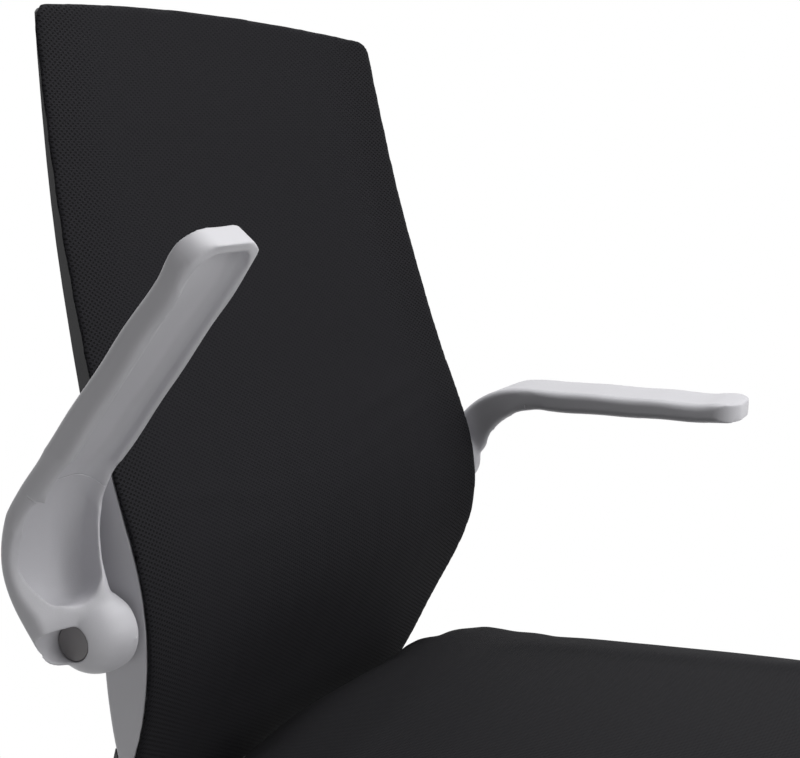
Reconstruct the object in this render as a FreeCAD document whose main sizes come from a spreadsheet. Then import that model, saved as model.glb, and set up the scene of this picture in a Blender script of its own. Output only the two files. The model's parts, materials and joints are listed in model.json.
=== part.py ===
import FreeCAD, Part
import math
import os
import types
import Sketcher

Vector = FreeCAD.Vector

# Driving sizes of the chair: millimetres, and degrees for angles.
SIZES = {
    # Fits
    "press_fit": 0.02,
    "running_fit": 0.05,
    "loose_gap": 0.3,
    # Casters
    "wheel_radius": 25.0,
    "wheel_width": 14.0,
    "wheel_offset": 7.5,
    "wheel_chamfer": 2.5,
    "wheel_dish": 2.0,
    "caster_trail": 18.0,
    "caster_height": 56.0,
    "hood_gap": 1.2,
    "hood_wall": 2.5,
    "hood_web": 14.0,
    "hood_boss": 10.0,
    "axle_radius": 3.0,
    "stem_radius": 5.5,
    "stem_depth": 21.0,
    "stem_grip": 20.0,
    "collar_height": 1.5,
    "collar_radius": 8.5,
    # Star base
    "base_radius": 290.0,
    "base_wall": 4.0,
    "hub_radius": 38.0,
    "hub_height": 56.0,
    "hub_lift": 4.0,
    "leg_lift": 10.0,
    "leg_root_half": 26.0,
    "leg_tip_half": 14.0,
    "tip_height": 24.0,
    "tip_radius": 17.0,
    "rib_width": 2.5,
    # Gas lift
    "column_bottom": 44.0,
    "column_length": 222.0,
    "column_radius": 25.0,
    "column_wall": 1.5,
    "column_taper": 0.7,
    "column_floor": 3.0,
    "bearing_radius": 16.0,
    "bearing_height": 9.0,
    "bush_length": 80.0,
    "lift_travel": 100.0,
    "cylinder_radius": 14.0,
    "cylinder_wall": 2.0,
    "rod_radius": 5.0,
    "piston_height": 12.0,
    "valve_radius": 3.0,
    "cover_wall": 1.6,
    "cover_gap": 0.4,
    "cover_overlap": 14.0,
    # Tilt mechanism
    "steel_sheet": 3.0,
    "housing_half": 43.0,
    "housing_front": 150.0,
    "housing_back": 50.0,
    "housing_height": 50.0,
    "socket_radius": 20.0,
    "socket_drop": 10.0,
    "pivot_forward": 40.0,
    "pivot_height": 40.0,
    "pin_radius": 6.0,
    "plate_height": 64.0,
    "plate_half": 95.0,
    "plate_back": 64.0,
    "plate_bolt_x": 80.0,
    "plate_bolt_front": 132.0,
    "plate_bolt_back": 48.0,
    "spring_forward": 105.0,
    "spring_radius": 17.0,
    "spring_wire": 2.5,
    "cup_radius": 27.0,
    "cup_height": 40.0,
    "bolt_radius": 5.0,
    "knob_radius": 26.0,
    "knob_height": 30.0,
    # Lever
    "lever_radius": 4.0,
    "lever_height": 38.0,
    "lever_drop": 22.0,
    "lever_reach": 190.0,
    "slider_length": 34.0,
    "slider_out": 56.0,
    "paddle_length": 80.0,
    "paddle_half": 16.0,
    "paddle_thick": 11.0,
    # Seat
    "seat_front": 292.0,
    "seat_back": 236.0,
    "seat_front_half": 248.0,
    "seat_back_half": 228.0,
    "seat_bow": 11.0,
    "seat_back_bow": 17.0,
    "seat_front_corner": 90.0,
    "seat_back_corner": 68.0,
    "seat_least_corner": 25.0,
    "seat_sweep": 700.0,
    "seat_rise": 3.5,
    "board_inset": 56.0,
    "pan_depth": 21.0,
    "pan_wall": 3.0,
    "board_thick": 12.0,
    "cushion_height": 96.0,
    "screw_radius": 3.0,
    "screw_head": 5.5,
    # Rear frame
    "spine_half": 38.0,
    "spine_thick": 22.0,
    "spine_front": 70.0,
    "spine_bend": 42.0,
    "spine_rise": 85.0,
    "wing_thick": 15.0,
    "wing_root": 46.0,
    "wing_tip": 16.0,
    "wing_end": 10.0,
    "wing_edge": 4.0,
    "wing_gap": 2.5,
    "nest_gap": 0.5,
    "ear_thick": 14.0,
    "ear_back": 202.0,
    "ear_inset": 1.0,
    "ear_least": 5.0,
    "ear_below": 86.0,
    "ear_above": 112.0,
    "ear_straight": 20.0,
    "ear_boss": 18.5,
    # Back
    "back_bottom": 42.0,
    "back_top": 612.7,
    "lumbar_height": 221.0,
    "lumbar_y": 165.0,
    "lumbar_radius": 165.0,
    "back_radius": 1600.0,
    "lean_up": 20.3,
    "lean_down": 24.0,
    "waist_half": 245.0,
    "top_half": 213.0,
    "bottom_half": 197.0,
    "back_hollow": 18.0,
    "top_corner": 18.0,
    "top_bow": 8.5,
    "mesh_thick": 7.0,
    "mesh_edge": 2.5,
    "mesh_roll": 6.0,
    "mesh_taper": 22.0,
    "frame_depth": 9.0,
    "frame_rim": 30.0,
    "frame_taper": 40.0,
    "frame_edge_top": 3.5,
    "frame_edge_waist": 19.0,
    "frame_inset_top": 8.0,
    "frame_inset_waist": 2.0,
    # Arms
    "arm_pivot_y": 194.0,
    "arm_pivot_height": 232.0,
    "arm_gap": 2.5,
    "arm_width": 64.0,
    "arm_reach": 260.0,
    "arm_rise": 71.0,
    "pad_thick": 16.0,
    "pad_fall": 3.0,
    "pad_under_end": 12.0,
    "pad_over_end": 22.0,
    "arm_edge": 6.0,
    "elbow_outer": 80.0,
    "elbow_inner": 56.0,
    "elbow_outer_back": 70.0,
    "elbow_inner_back": 89.0,
    "hub_radius_arm": 25.2,
    "hub_shoulder": 8.0,
    "hub_dome": 28.5,
    "hub_edge": 3.0,
    "hub_blend": 7.0,
    "housing_clear": 20.0,
    "cylinder_rise": 26.0,
    "clip_room": 7.0,
    "cylinder_head": 14.0,
    "knob_gap": 0.5,
    "sleeve_wall": 3.5,
    "wheel_rim": 5.0,
    "axle_end": 0.5,
    "hub_chamfer_low": 2.0,
    "hub_chamfer": 4.0,
    "leg_sink": 5.0,
    "channel_start": 8.0,
    "channel_end": 6.0,
    "rod_clear": 2.0,
    "bush_flange": 3.0,
    "race_step": 2.0,
    "rod_end": 4.0,
    "clip_low": 2.3,
    "clip_reach": 4.0,
    "guide_length": 15.0,
    "taper_start": 6.0,
    "cover_fit": 0.6,
    "cover_top": 3.0,
    "bead_out": 1.2,
    "bead_height": 8.0,
    "collar_sink": 21.0,
    "plate_waist": 6.0,
    "plate_band": 34.0,
    "plate_slant": 20.0,
    "cheek_half": 24.0,
    "cheek_foot": 12.0,
    "cheek_drop": 14.0,
    "cheek_side": 2.0,
    "screw_gap": 0.2,
    "spine_screw_first": 20.0,
    "spine_screw_next": 80.0,
    "spine_screw_x": 22.0,
    "bolt_end": 2.0,
    "bolt_head": 4.0,
    "bolt_head_height": 6.0,
    "knob_chamfer": 5.0,
    "pin_end": 5.0,
    "lever_past": 17.0,
    "lever_straight": 12.0,
    "lever_bend": 18.0,
    "paddle_grip": 30.0,
    "head_height": 4.0,
    "window_sill": 92.0,
    "window_inset": 14.0,
    "back_screw_x": 18.0,
    "slope_start": 6.0,
    "slope_fall": 26.0,
    "groove_out": 2.5,
    "groove_radius": 6.0,
    "groove_stop": 4.0,
    "lever_slant": 34.0,
    "recess_lip": 7.0,
    "recess_wall": 7.0,
    "recess_corner": 8.0,
    "recess_sweep": 18.0,
    "seam_back": 19.0,
    "recess_drop": 14.0,
    "tip_round": 21.0,
    "cap_radius": 11.0,
    "cap_seat": 23.5,
    "cap_thick": 3.0,
    "cap_gap": 0.4,
    "cap_lift": 1.0,
    "cap_round": 0.8,
    "pivot_head": 5.0,
    "washer_radius": 16.0,
    "panel_thick": 2.3,
    "panel_set": 1.2,
    "raised_angle": 51.0,
}

LEGS = 5
LEG_START = -90.0
CASTER_TURN = 35.0
HOOD_SWEEP = 150.0
SPRING_TURNS = 4
KNOB_GROOVES = 8
LOFT_DEGREE = 3
PAD_STATIONS = 7
BACK_LEVELS = 11
# Share of the cushion's height, and how far it draws in there at the sides and at the rear.
CUSHION_RINGS = (
    (0.0, 32.0, 32.0), (0.10, 14.0, 14.0), (0.24, 4.0, 4.0), (0.42, 0.0, 0.0), (0.60, 1.0, 3.0),
    (0.74, 5.0, 12.0), (0.85, 12.0, 28.0), (0.92, 21.0, 46.0), (0.965, 36.0, 70.0),
    (0.99, 62.0, 100.0), (1.0, 96.0, 136.0),
)
# Share of the pan's depth, and how far it draws in there.
PAN_RINGS = ((0.0, 46.0), (0.25, 24.0), (1.0, 8.0))
# Elbow of an arm: angle, width lost at the inner and outer side, set-backs of the outer under
# and rear edges, and their radii.
ELBOW_RUN = (
    (84.0, 0.0, 0.0, 6.0, 0.0, 5.0, 6.5), (68.0, 0.0, 0.0, 15.0, 1.0, 5.0, 8.0),
    (52.0, 1.0, 1.0, 23.0, 3.0, 4.0, 6.0),
    (37.0, 3.0, 3.0, 25.0, 5.0, 4.0, 5.0), (22.0, 6.0, 7.0, 24.0, 4.0, 5.0, 6.0),
)
# Lower end of an arm: height and half depth in hub radii, inner set-back, share of the width,
# set-backs of the outer under and rear edges, and corner radius.
ARM_END = (
    (0.0, 0.96, 5.0, 0.71, 28.5, 11.5, 3.5), (-0.25, 0.9, 4.0, 0.53, 18.0, 11.0, 4.0),
    (-0.5, 0.78, 3.0, 0.36, 8.0, 10.0, 4.0), (-0.75, 0.55, 3.0, 0.19, 2.0, 5.0, 2.5),
    (-0.9, 0.3, 3.0, 0.12, 0.5, 2.0, 1.2),
)
# Shares of the hub's blend radius, tried from the largest.
BLEND_SHARES = (1.0, 0.8, 0.6, 0.45, 0.3, 0.2)
# Recess round the elbow: angle, how far it draws in at the inner and outer side, share of its depth.
RECESS_RUN = (
    (84.0, 0.0, 0.0, 1.0), (68.0, -1.0, -1.0, 1.0), (52.0, -1.0, -1.0, 1.0), (37.0, 1.0, 4.0, 1.0),
    (29.0, 2.5, 8.0, 0.9), (22.0, 6.0, 13.0, 0.68), (15.0, 13.0, 20.0, 0.4),
)
EAR_LEVELS = 13
# How fast the rear line of an ear leans back above its straight stretch.
EAR_LEAN = 0.36
# How fast the rear of the frame falls back from its side edge.
FRAME_LEAN = 0.5
# Share of the way out to the ear, and height from the lumbar line, along a wing.
WING_RUN = ((0.06, -128.0), (0.38, -96.0), (0.68, -62.0), (0.9, -28.0), (1.0, 6.0))


def make_sheet(document):
    """Spreadsheet with one named cell for every driving size."""
    table = document.addObject("Spreadsheet::Sheet", "Sizes")
    for row, (alias, value) in enumerate(SIZES.items(), start=1):
        table.set(f"A{row}", alias.replace("_", " "))
        table.set(f"B{row}", str(value))
        table.setAlias(f"B{row}", alias)
    document.recompute()
    return table


class Size:
    """A length worked out from the sheet: its number and the expression that gives it."""

    def __init__(self, value, text):
        self.value = value
        self.text = text

    def __float__(self):
        return self.value

    def __add__(self, other):
        other = as_size(other)
        return Size(self.value + other.value, f"({self.text} + {other.text})")

    __radd__ = __add__

    def __neg__(self):
        return self * -1.0

    def __sub__(self, other):
        return self + as_size(other) * -1.0

    def __rsub__(self, other):
        return as_size(other) - self

    def __mul__(self, factor):
        return Size(self.value * factor, f"({self.text} * {factor:.9f})")

    __rmul__ = __mul__

    def __truediv__(self, divisor):
        return self * (1.0 / divisor)


def as_size(item):
    if isinstance(item, Size):
        return item
    return Size(float(item), f"{float(item):.9f}")


doc = FreeCAD.newDocument("MeshOfficeChair")
sheet = make_sheet(doc)
s = types.SimpleNamespace(
    **{alias: Size(float(sheet.get(alias)), f"Sizes.{alias}") for alias in SIZES}
)
subparts = []

# Heights that stack up from the floor to the seat.
base_bottom = s.caster_height + s.collar_height
hub_bottom = base_bottom + s.hub_lift
hub_top = hub_bottom + s.hub_height
column_top = s.column_bottom + s.column_length
housing_z = column_top + s.housing_clear
socket_bottom = housing_z - s.socket_drop
cylinder_top = housing_z + s.cylinder_rise
cylinder_bottom = s.column_bottom + s.column_floor + s.bearing_height + s.clip_room
bore_top = cylinder_top - s.cylinder_head
pivot_y = -s.pivot_forward
pivot_z = housing_z + s.pivot_height
lever_z = housing_z + s.lever_height
plate_z = housing_z + s.plate_height
deck_z = plate_z + s.steel_sheet
board_z = deck_z + s.pan_wall + s.loose_gap
cushion_z = board_z + s.board_thick + s.loose_gap
spring_y = -s.spring_forward
knob_top = housing_z - s.cup_height - s.knob_gap
arm_y = s.arm_pivot_y
arm_z = deck_z + s.arm_pivot_height
back_bottom_z = deck_z + s.back_bottom
back_top_z = deck_z + s.back_top
lumbar_z = deck_z + s.lumbar_height
arm_inner = s.waist_half + s.arm_gap
arm_outer = arm_inner + s.arm_width


def bind(item, prop, size):
    """Bind a property to the sheet, or set it where the value is a plain number."""
    if isinstance(size, Size):
        item.setExpression(prop, size.text)
    else:
        setattr(item, prop, size)


def place(item, x=0.0, y=0.0, z=0.0, rotation=None):
    """Put an object at a point that stays bound to the sheet."""
    spot = Vector(float(x), float(y), float(z))
    item.Placement = FreeCAD.Placement(spot, rotation or FreeCAD.Rotation())
    for axis, size in (("x", x), ("y", y), ("z", z)):
        if isinstance(size, Size):
            item.setExpression(f"Placement.Base.{axis}", size.text)
    return item


def keep(item, name):
    """Mark an object as a finished sub-part under its own name."""
    item.Label = name
    subparts.append(item)
    return item


def origin(body, role):
    return next(item for item in body.Origin.OriginFeatures if item.Role == role)


def new_sketch(body, plane, offset):
    sketch = body.newObject("Sketcher::SketchObject", "Sketch")
    sketch.AttachmentSupport = [(origin(body, plane), "")]
    sketch.MapMode = "FlatFace"
    if offset is not None:
        sketch.setExpression("AttachmentOffset.Base.z", as_size(offset).text)
    return sketch


def hold(sketch, geometry, position, x, y):
    """Hold a point of the sketch at its two distances from the origin."""
    for kind, size, axis in (("DistanceX", x, -2), ("DistanceY", y, -1)):
        if not isinstance(size, Size) and size == 0:
            sketch.addConstraint(Sketcher.Constraint("PointOnObject", geometry, position, axis))
            continue
        rule = Sketcher.Constraint(kind, -1, 1, geometry, position, float(size))
        index = sketch.addConstraint(rule)
        sketch.setExpression(f"Constraints[{index}]", as_size(size).text)


def outline(body, plane, corners, offset=None):
    """Closed sketch of straight edges through the given corners."""
    sketch = new_sketch(body, plane, offset)
    points = [Vector(float(x), float(y), 0) for x, y in corners]
    for start, end in zip(points, points[1:] + points[:1]):
        sketch.addGeometry(Part.LineSegment(start, end), False)
    for index in range(len(points)):
        following = (index + 1) % len(points)
        sketch.addConstraint(Sketcher.Constraint("Coincident", index, 2, following, 1))
    for index, (x, y) in enumerate(corners):
        hold(sketch, index, 1, x, y)
    return sketch


def circles(body, plane, rounds, offset=None):
    """Sketch of circles given as (x, y, radius)."""
    sketch = new_sketch(body, plane, offset)
    for x, y, radius in rounds:
        centre = Vector(float(x), float(y), 0)
        circle = Part.Circle(centre, Vector(0, 0, 1), float(radius))
        index = sketch.addGeometry(circle, False)
        hold(sketch, index, 3, x, y)
        rule = sketch.addConstraint(Sketcher.Constraint("Radius", index, float(radius)))
        sketch.setExpression(f"Constraints[{rule}]", as_size(radius).text)
    return sketch


def box_corners(x0, x1, y0, y1):
    return [(x0, y0), (x1, y0), (x1, y1), (x0, y1)]


def new_body():
    return doc.addObject("PartDesign::Body", "Body")


def pad(body, sketch, length, both=False, back=False):
    feature = body.newObject("PartDesign::Pad", "Pad")
    feature.Profile = sketch
    bind(feature, "Length", as_size(length))
    feature.SideType = "Symmetric" if both else "One side"
    feature.Reversed = back
    return feature


def pocket(body, sketch, length=None, both=False, back=False):
    feature = body.newObject("PartDesign::Pocket", "Pocket")
    feature.Profile = sketch
    if length is None:
        feature.Type = "ThroughAll"
    else:
        bind(feature, "Length", as_size(length))
    feature.SideType = "Symmetric" if both else "One side"
    feature.Reversed = back
    return feature


def turn(body, sketch, kind="PartDesign::Revolution", angle=360.0):
    feature = body.newObject(kind, "Turn")
    feature.Profile = sketch
    feature.ReferenceAxis = (sketch, ["V_Axis"])
    feature.Angle = angle
    return feature


def spread(body, features, count):
    """Copies of the features, evenly round the body's Z axis."""
    pattern = body.newObject("PartDesign::PolarPattern", "Pattern")
    pattern.Originals = features
    pattern.Axis = (origin(body, "Z_Axis"), [""])
    pattern.Angle = 360
    pattern.Occurrences = count
    body.Tip = pattern
    return pattern


def turned(name, corners):
    """Piece turned about Z; corners are (radius, height)."""
    body = new_body()
    turn(body, outline(body, "XZ_Plane", corners))
    return keep(body, name)


def cylinder(radius, length, x, y, z, axis=Vector(0, 0, 1)):
    """Round bar along an axis, starting at a point."""
    bar = doc.addObject("Part::Cylinder", "Bar")
    bind(bar, "Radius", as_size(radius))
    bind(bar, "Height", as_size(length))
    return place(bar, x, y, z, FreeCAD.Rotation(Vector(0, 0, 1), axis))


def together(name, pieces):
    """Several solids in one sub-part."""
    group = doc.addObject("Part::MultiFuse", "Group")
    group.Shapes = pieces
    return keep(group, name)


def formed(name, shape):
    """Sub-part whose form is lofted from sizes in the sheet."""
    item = doc.addObject("Part::Feature", "Form")
    item.Shape = shape
    return keep(item, name)


def mix(start, end, share):
    return start * (1.0 - share) + end * share


def loft(wires):
    """Smooth solid through closed sections."""
    return Part.makeLoft(wires, True, False, False, LOFT_DEGREE)


# Casters

def caster_spot(index):
    """Leg angle, and the axle's place, of one caster."""
    leg = math.radians(LEG_START + index * 360.0 / LEGS)
    trail = leg + math.radians(CASTER_TURN)
    x = s.base_radius * math.cos(leg) + s.caster_trail * math.cos(trail)
    y = s.base_radius * math.sin(leg) + s.caster_trail * math.sin(trail)
    return x, y, math.degrees(trail)


def on_caster(item, index, flip=0.0):
    """Place a piece that is modelled about its axle on one of the casters."""
    x, y, angle = caster_spot(index)
    rotation = FreeCAD.Rotation(Vector(0, 0, 1), angle + flip)
    return place(item, x, y, s.wheel_radius, rotation)


def caster_hood(index):
    """Fender, web and stem boss of a twin-wheel caster, modelled about its axle."""
    body = new_body()
    inner = s.wheel_radius + s.hood_gap
    outer = inner + s.hood_wall
    half = s.wheel_offset + s.wheel_width
    top = s.caster_height - s.wheel_radius
    sleeve = s.stem_radius + s.sleeve_wall
    fender = turn(body, outline(body, "XY_Plane", box_corners(inner, outer, -half, half)))
    fender.Angle = HOOD_SWEEP
    fender.Reversed = True
    pad(body, circles(body, "XZ_Plane", [(0, 0, s.wheel_radius * 0.8)]), s.hood_web, both=True)
    block = box_corners(-s.caster_trail - sleeve, -s.caster_trail + sleeve, 5.0, top)
    pad(body, outline(body, "XZ_Plane", block), s.hood_web, both=True)
    boss = circles(body, "XY_Plane", [(-s.caster_trail, 0, s.hood_boss)], offset=top)
    pad(body, boss, 5.5, back=True)
    bore = circles(body, "XY_Plane", [(-s.caster_trail, 0, s.stem_radius + s.running_fit)], offset=top)
    pocket(body, bore, s.stem_depth)
    axle = circles(body, "XZ_Plane", [(0, 0, s.axle_radius + s.running_fit)])
    pocket(body, axle, both=True)
    return keep(on_caster(body, index), f"caster_hood_{index + 1}")


def caster_wheel(index, side):
    """Wheel with a dished outer face, turned about its axle."""
    body = new_body()
    bore = s.axle_radius + s.running_fit
    inner = s.wheel_offset
    outer = inner + s.wheel_width
    edge = s.wheel_radius - s.wheel_chamfer
    rim = edge - s.wheel_rim
    corners = [
        (bore, inner), (edge, inner), (s.wheel_radius, inner + s.wheel_chamfer),
        (s.wheel_radius, outer - s.wheel_chamfer), (edge, outer), (rim, outer),
        (rim - s.wheel_dish, outer - s.wheel_dish), (bore, outer - s.wheel_dish),
    ]
    turn(body, outline(body, "XY_Plane", corners))
    flip = 0.0 if side == "a" else 180.0
    return keep(on_caster(body, index, flip), f"caster_wheel_{index + 1}{side}")


def caster_axle(index):
    """Steel pin through both wheels and the web."""
    body = new_body()
    half = s.wheel_offset + s.wheel_width - s.wheel_dish - s.axle_end
    pad(body, circles(body, "XZ_Plane", [(0, 0, s.axle_radius)]), half * 2.0, both=True)
    return keep(on_caster(body, index), f"caster_axle_{index + 1}")


def caster_stems():
    """Five stems with their collars, gripped in the tips of the legs."""
    pieces = []
    foot = s.caster_height - s.stem_depth + s.loose_gap
    for index in range(LEGS):
        leg = math.radians(LEG_START + index * 360.0 / LEGS)
        x = s.base_radius * math.cos(leg)
        y = s.base_radius * math.sin(leg)
        length = base_bottom + s.stem_grip - foot
        shank = cylinder(s.stem_radius, length, x, y, foot)
        collar = cylinder(s.collar_radius, s.collar_height - s.loose_gap, x, y, s.caster_height + s.loose_gap)
        pieces += [shank, collar]
    return together("caster_stems", pieces)


# Star base

def leg_corners(share):
    """Section of a leg: a broad foot, leaning sides and a narrow crest."""
    half = mix(s.leg_root_half, s.leg_tip_half, share)
    low = mix(base_bottom + s.leg_lift, base_bottom, share)
    high = mix(hub_top - s.hub_lift, base_bottom + s.tip_height, share)
    middle = mix(low, high, 0.55)
    return [
        (-half, low), (half, low), (half * 0.92, middle), (half * 0.5, high),
        (half * -0.5, high), (half * -0.92, middle),
    ]


def channel_corners(share):
    """Section of the hollow under a leg."""
    half = mix(s.leg_root_half, s.leg_tip_half, share)
    low = mix(base_bottom + s.leg_lift, base_bottom, share) - 1.0
    high = mix(hub_top - s.hub_lift, base_bottom + s.tip_height, share) - s.base_wall * 1.6
    foot = half - s.base_wall
    return [(-foot, low), (foot, low), (half * 0.45, high), (half * -0.45, high)]


def star_base():
    body = new_body()
    bore_low = s.column_radius - s.column_taper + s.running_fit
    bore_high = s.column_radius + s.running_fit
    hub = [
        (bore_low, hub_bottom), (s.hub_radius - s.hub_chamfer_low, hub_bottom),
        (s.hub_radius, hub_bottom + s.hub_chamfer_low * 2.0),
        (s.hub_radius, hub_top - s.hub_chamfer * 1.5),
        (s.hub_radius - s.hub_chamfer, hub_top), (bore_high, hub_top),
    ]
    turn(body, outline(body, "XZ_Plane", hub))
    root = s.hub_radius - s.leg_sink
    tip = s.base_radius - s.leg_sink
    run = float(tip) - float(root)

    def share(radius):
        return (float(radius) - float(root)) / run

    leg = body.newObject("PartDesign::AdditiveLoft", "Leg")
    leg.Profile = outline(body, "YZ_Plane", leg_corners(0.0), offset=root)
    leg.Sections = [outline(body, "YZ_Plane", leg_corners(1.0), offset=tip)]
    round_tip = circles(body, "XY_Plane", [(s.base_radius, 0, s.tip_radius)], offset=base_bottom)
    foot = pad(body, round_tip, s.tip_height)
    start = s.hub_radius + s.channel_start
    end = s.base_radius - s.tip_radius - s.channel_end
    hollow = body.newObject("PartDesign::SubtractiveLoft", "Channel")
    hollow.Profile = outline(body, "YZ_Plane", channel_corners(share(start)), offset=start)
    hollow.Sections = [outline(body, "YZ_Plane", channel_corners(share(end)), offset=end)]
    ribs = []
    for part in (0.3, 0.52, 0.74):
        radius = mix(start, end, part)
        corners = channel_corners(share(radius))
        lifted = [(x * 1.05, z + 7.0) for x, z in corners[:2]] + [(x * 1.05, z + 1.0) for x, z in corners[2:]]
        ribs.append(pad(body, outline(body, "YZ_Plane", lifted, offset=radius), s.rib_width))
    bore = circles(body, "XY_Plane", [(s.base_radius, 0, s.stem_radius + s.running_fit)], offset=base_bottom)
    socket = pocket(body, bore, s.stem_grip + s.loose_gap, back=True)
    spread(body, [leg, foot, hollow, *ribs, socket], LEGS)
    place(body, rotation=FreeCAD.Rotation(Vector(0, 0, 1), LEG_START))
    return keep(body, "star_base")


# Gas lift and its covers

def gas_lift():
    bottom = s.column_bottom
    floor = bottom + s.column_floor
    narrow = s.column_radius - s.column_taper
    inside = s.column_radius - s.column_wall
    hole = s.rod_radius + s.rod_clear
    turned("column_tube", [
        (hole, bottom), (narrow, bottom), (narrow, hub_bottom), (s.column_radius, hub_top),
        (s.column_radius, column_top), (inside, column_top), (inside, floor), (hole, floor),
    ])
    turned("guide_bush", [
        (s.cylinder_radius + s.running_fit, column_top - s.bush_length),
        (inside - s.running_fit, column_top - s.bush_length), (inside - s.running_fit, column_top),
        (s.column_radius, column_top), (s.column_radius, column_top + s.bush_flange),
        (s.cylinder_radius + s.running_fit, column_top + s.bush_flange),
    ])
    third = s.bearing_height / 3.0
    bearing_bore = s.rod_radius + s.running_fit
    turned("thrust_bearing", [
        (bearing_bore, floor), (s.bearing_radius, floor), (s.bearing_radius, floor + third),
        (s.bearing_radius - s.race_step, floor + third), (s.bearing_radius - s.race_step, floor + third * 2.0),
        (s.bearing_radius, floor + third * 2.0), (s.bearing_radius, floor + s.bearing_height),
        (bearing_bore, floor + s.bearing_height),
    ])
    bore = s.cylinder_radius - s.cylinder_wall
    piston_low = bore_top - s.piston_height * 2.0
    piston = bore - s.running_fit * 2.0
    turned("piston_rod", [
        (0, bottom - s.rod_end), (s.rod_radius, bottom - s.rod_end),
        (s.rod_radius, piston_low), (piston, piston_low),
        (piston, piston_low + s.piston_height), (0, piston_low + s.piston_height),
    ])
    turned("retaining_clip", [
        (s.rod_radius + s.press_fit, bottom - s.clip_low), (s.rod_radius + s.clip_reach, bottom - s.clip_low),
        (s.rod_radius + s.clip_reach, bottom - s.loose_gap), (s.rod_radius + s.press_fit, bottom - s.loose_gap),
    ])
    guide = cylinder_bottom + s.guide_length
    valve_bore = s.valve_radius + s.running_fit
    rod_bore = s.rod_radius + s.running_fit
    turned("gas_cylinder", [
        (rod_bore, cylinder_bottom), (s.cylinder_radius, cylinder_bottom),
        (s.cylinder_radius, socket_bottom + s.taper_start), (s.cylinder_radius - s.column_taper, cylinder_top),
        (valve_bore, cylinder_top), (valve_bore, bore_top), (bore, bore_top), (bore, guide), (rod_bore, guide),
    ])
    valve_top = lever_z - s.lever_radius - s.loose_gap
    turned("valve_pin", [
        (0, bore_top), (s.valve_radius, bore_top), (s.valve_radius, valve_top - 1.0),
        (s.valve_radius - 1.0, valve_top), (0, valve_top),
    ])


def column_covers():
    """Three sleeves that telescope round the gas lift."""
    length = (socket_bottom - hub_top + s.lift_travel + s.cover_overlap * 2.0) / 3.0
    upper_low = socket_bottom - length
    step = s.cover_wall + s.cover_gap
    inside = s.column_radius + s.cover_fit
    turned("cover_upper", [
        (inside, upper_low), (inside + s.cover_wall, upper_low), (inside + s.cover_wall, socket_bottom),
        (s.cylinder_radius + s.cover_fit, socket_bottom),
        (s.cylinder_radius + s.cover_fit, socket_bottom - s.cover_top),
        (inside, socket_bottom - s.cover_top),
    ])
    middle_low = (hub_top + upper_low) / 2.0
    turned("cover_middle", box_corners(
        inside + step, inside + step + s.cover_wall, middle_low, middle_low + length))
    lower_in = inside + step * 2.0
    turned("cover_lower", [
        (lower_in, hub_top), (lower_in + s.cover_wall + s.bead_out, hub_top),
        (lower_in + s.cover_wall + s.bead_out, hub_top + s.bead_height),
        (lower_in + s.cover_wall, hub_top + s.bead_height * 1.25),
        (lower_in + s.cover_wall, hub_top + length), (lower_in, hub_top + length),
    ])


# Tilt mechanism

def mechanism_housing():
    """Pressed steel channel with the lift socket, spring cup, lever slot and pivot holes."""
    body = new_body()
    half = s.housing_half
    inner = half - s.steel_sheet
    top = housing_z + s.housing_height
    floor = housing_z + s.steel_sheet
    channel = [
        (-half, housing_z), (half, housing_z), (half, top), (inner, top), (inner, floor),
        (-inner, floor), (-inner, top), (-half, top),
    ]
    pad(body, outline(body, "XZ_Plane", channel, offset=-s.housing_back), s.housing_back + s.housing_front)
    stop = box_corners(-half, half, housing_z, plate_z - s.loose_gap)
    pad(body, outline(body, "XZ_Plane", stop, offset=s.housing_front), s.steel_sheet, back=True)
    slope = [
        (-s.slope_start, top + 1.0), (-s.slope_start, top),
        (s.housing_back + 1.0, top - s.slope_fall), (s.housing_back + 1.0, top + 1.0),
    ]
    pocket(body, outline(body, "YZ_Plane", slope), both=True)
    collar = circles(body, "XY_Plane", [(0, 0, s.socket_radius)], offset=socket_bottom)
    pad(body, collar, s.socket_drop + s.collar_sink)
    fit = s.running_fit
    bore = [
        (0, socket_bottom - 1.0), (s.cylinder_radius + fit, socket_bottom - 1.0),
        (s.cylinder_radius + fit, socket_bottom + s.taper_start),
        (s.cylinder_radius - s.column_taper + fit, cylinder_top),
        (s.cylinder_radius - s.column_taper + fit, cylinder_top + 1.0), (0, cylinder_top + 1.0),
    ]
    turn(body, outline(body, "XZ_Plane", bore), "PartDesign::Groove")
    cup = circles(body, "XY_Plane", [(0, spring_y, s.cup_radius)], offset=housing_z)
    pad(body, cup, s.cup_height, back=True)
    inside = circles(body, "XY_Plane", [(0, spring_y, s.cup_radius - s.steel_sheet)], offset=housing_z)
    pocket(body, inside, s.cup_height)
    shank = circles(body, "XY_Plane", [(0, spring_y, s.bolt_radius + fit)], offset=floor)
    pocket(body, shank, s.steel_sheet * 2.0)
    slot = box_corners(-8.3, 8.3, lever_z - 9.3, lever_z + 9.3)
    pocket(body, outline(body, "YZ_Plane", slot), half + 1.0)
    pin = circles(body, "YZ_Plane", [(pivot_y, pivot_z, s.pin_radius + s.press_fit)])
    pocket(body, pin, both=True)
    return keep(body, "mechanism_housing")


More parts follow.
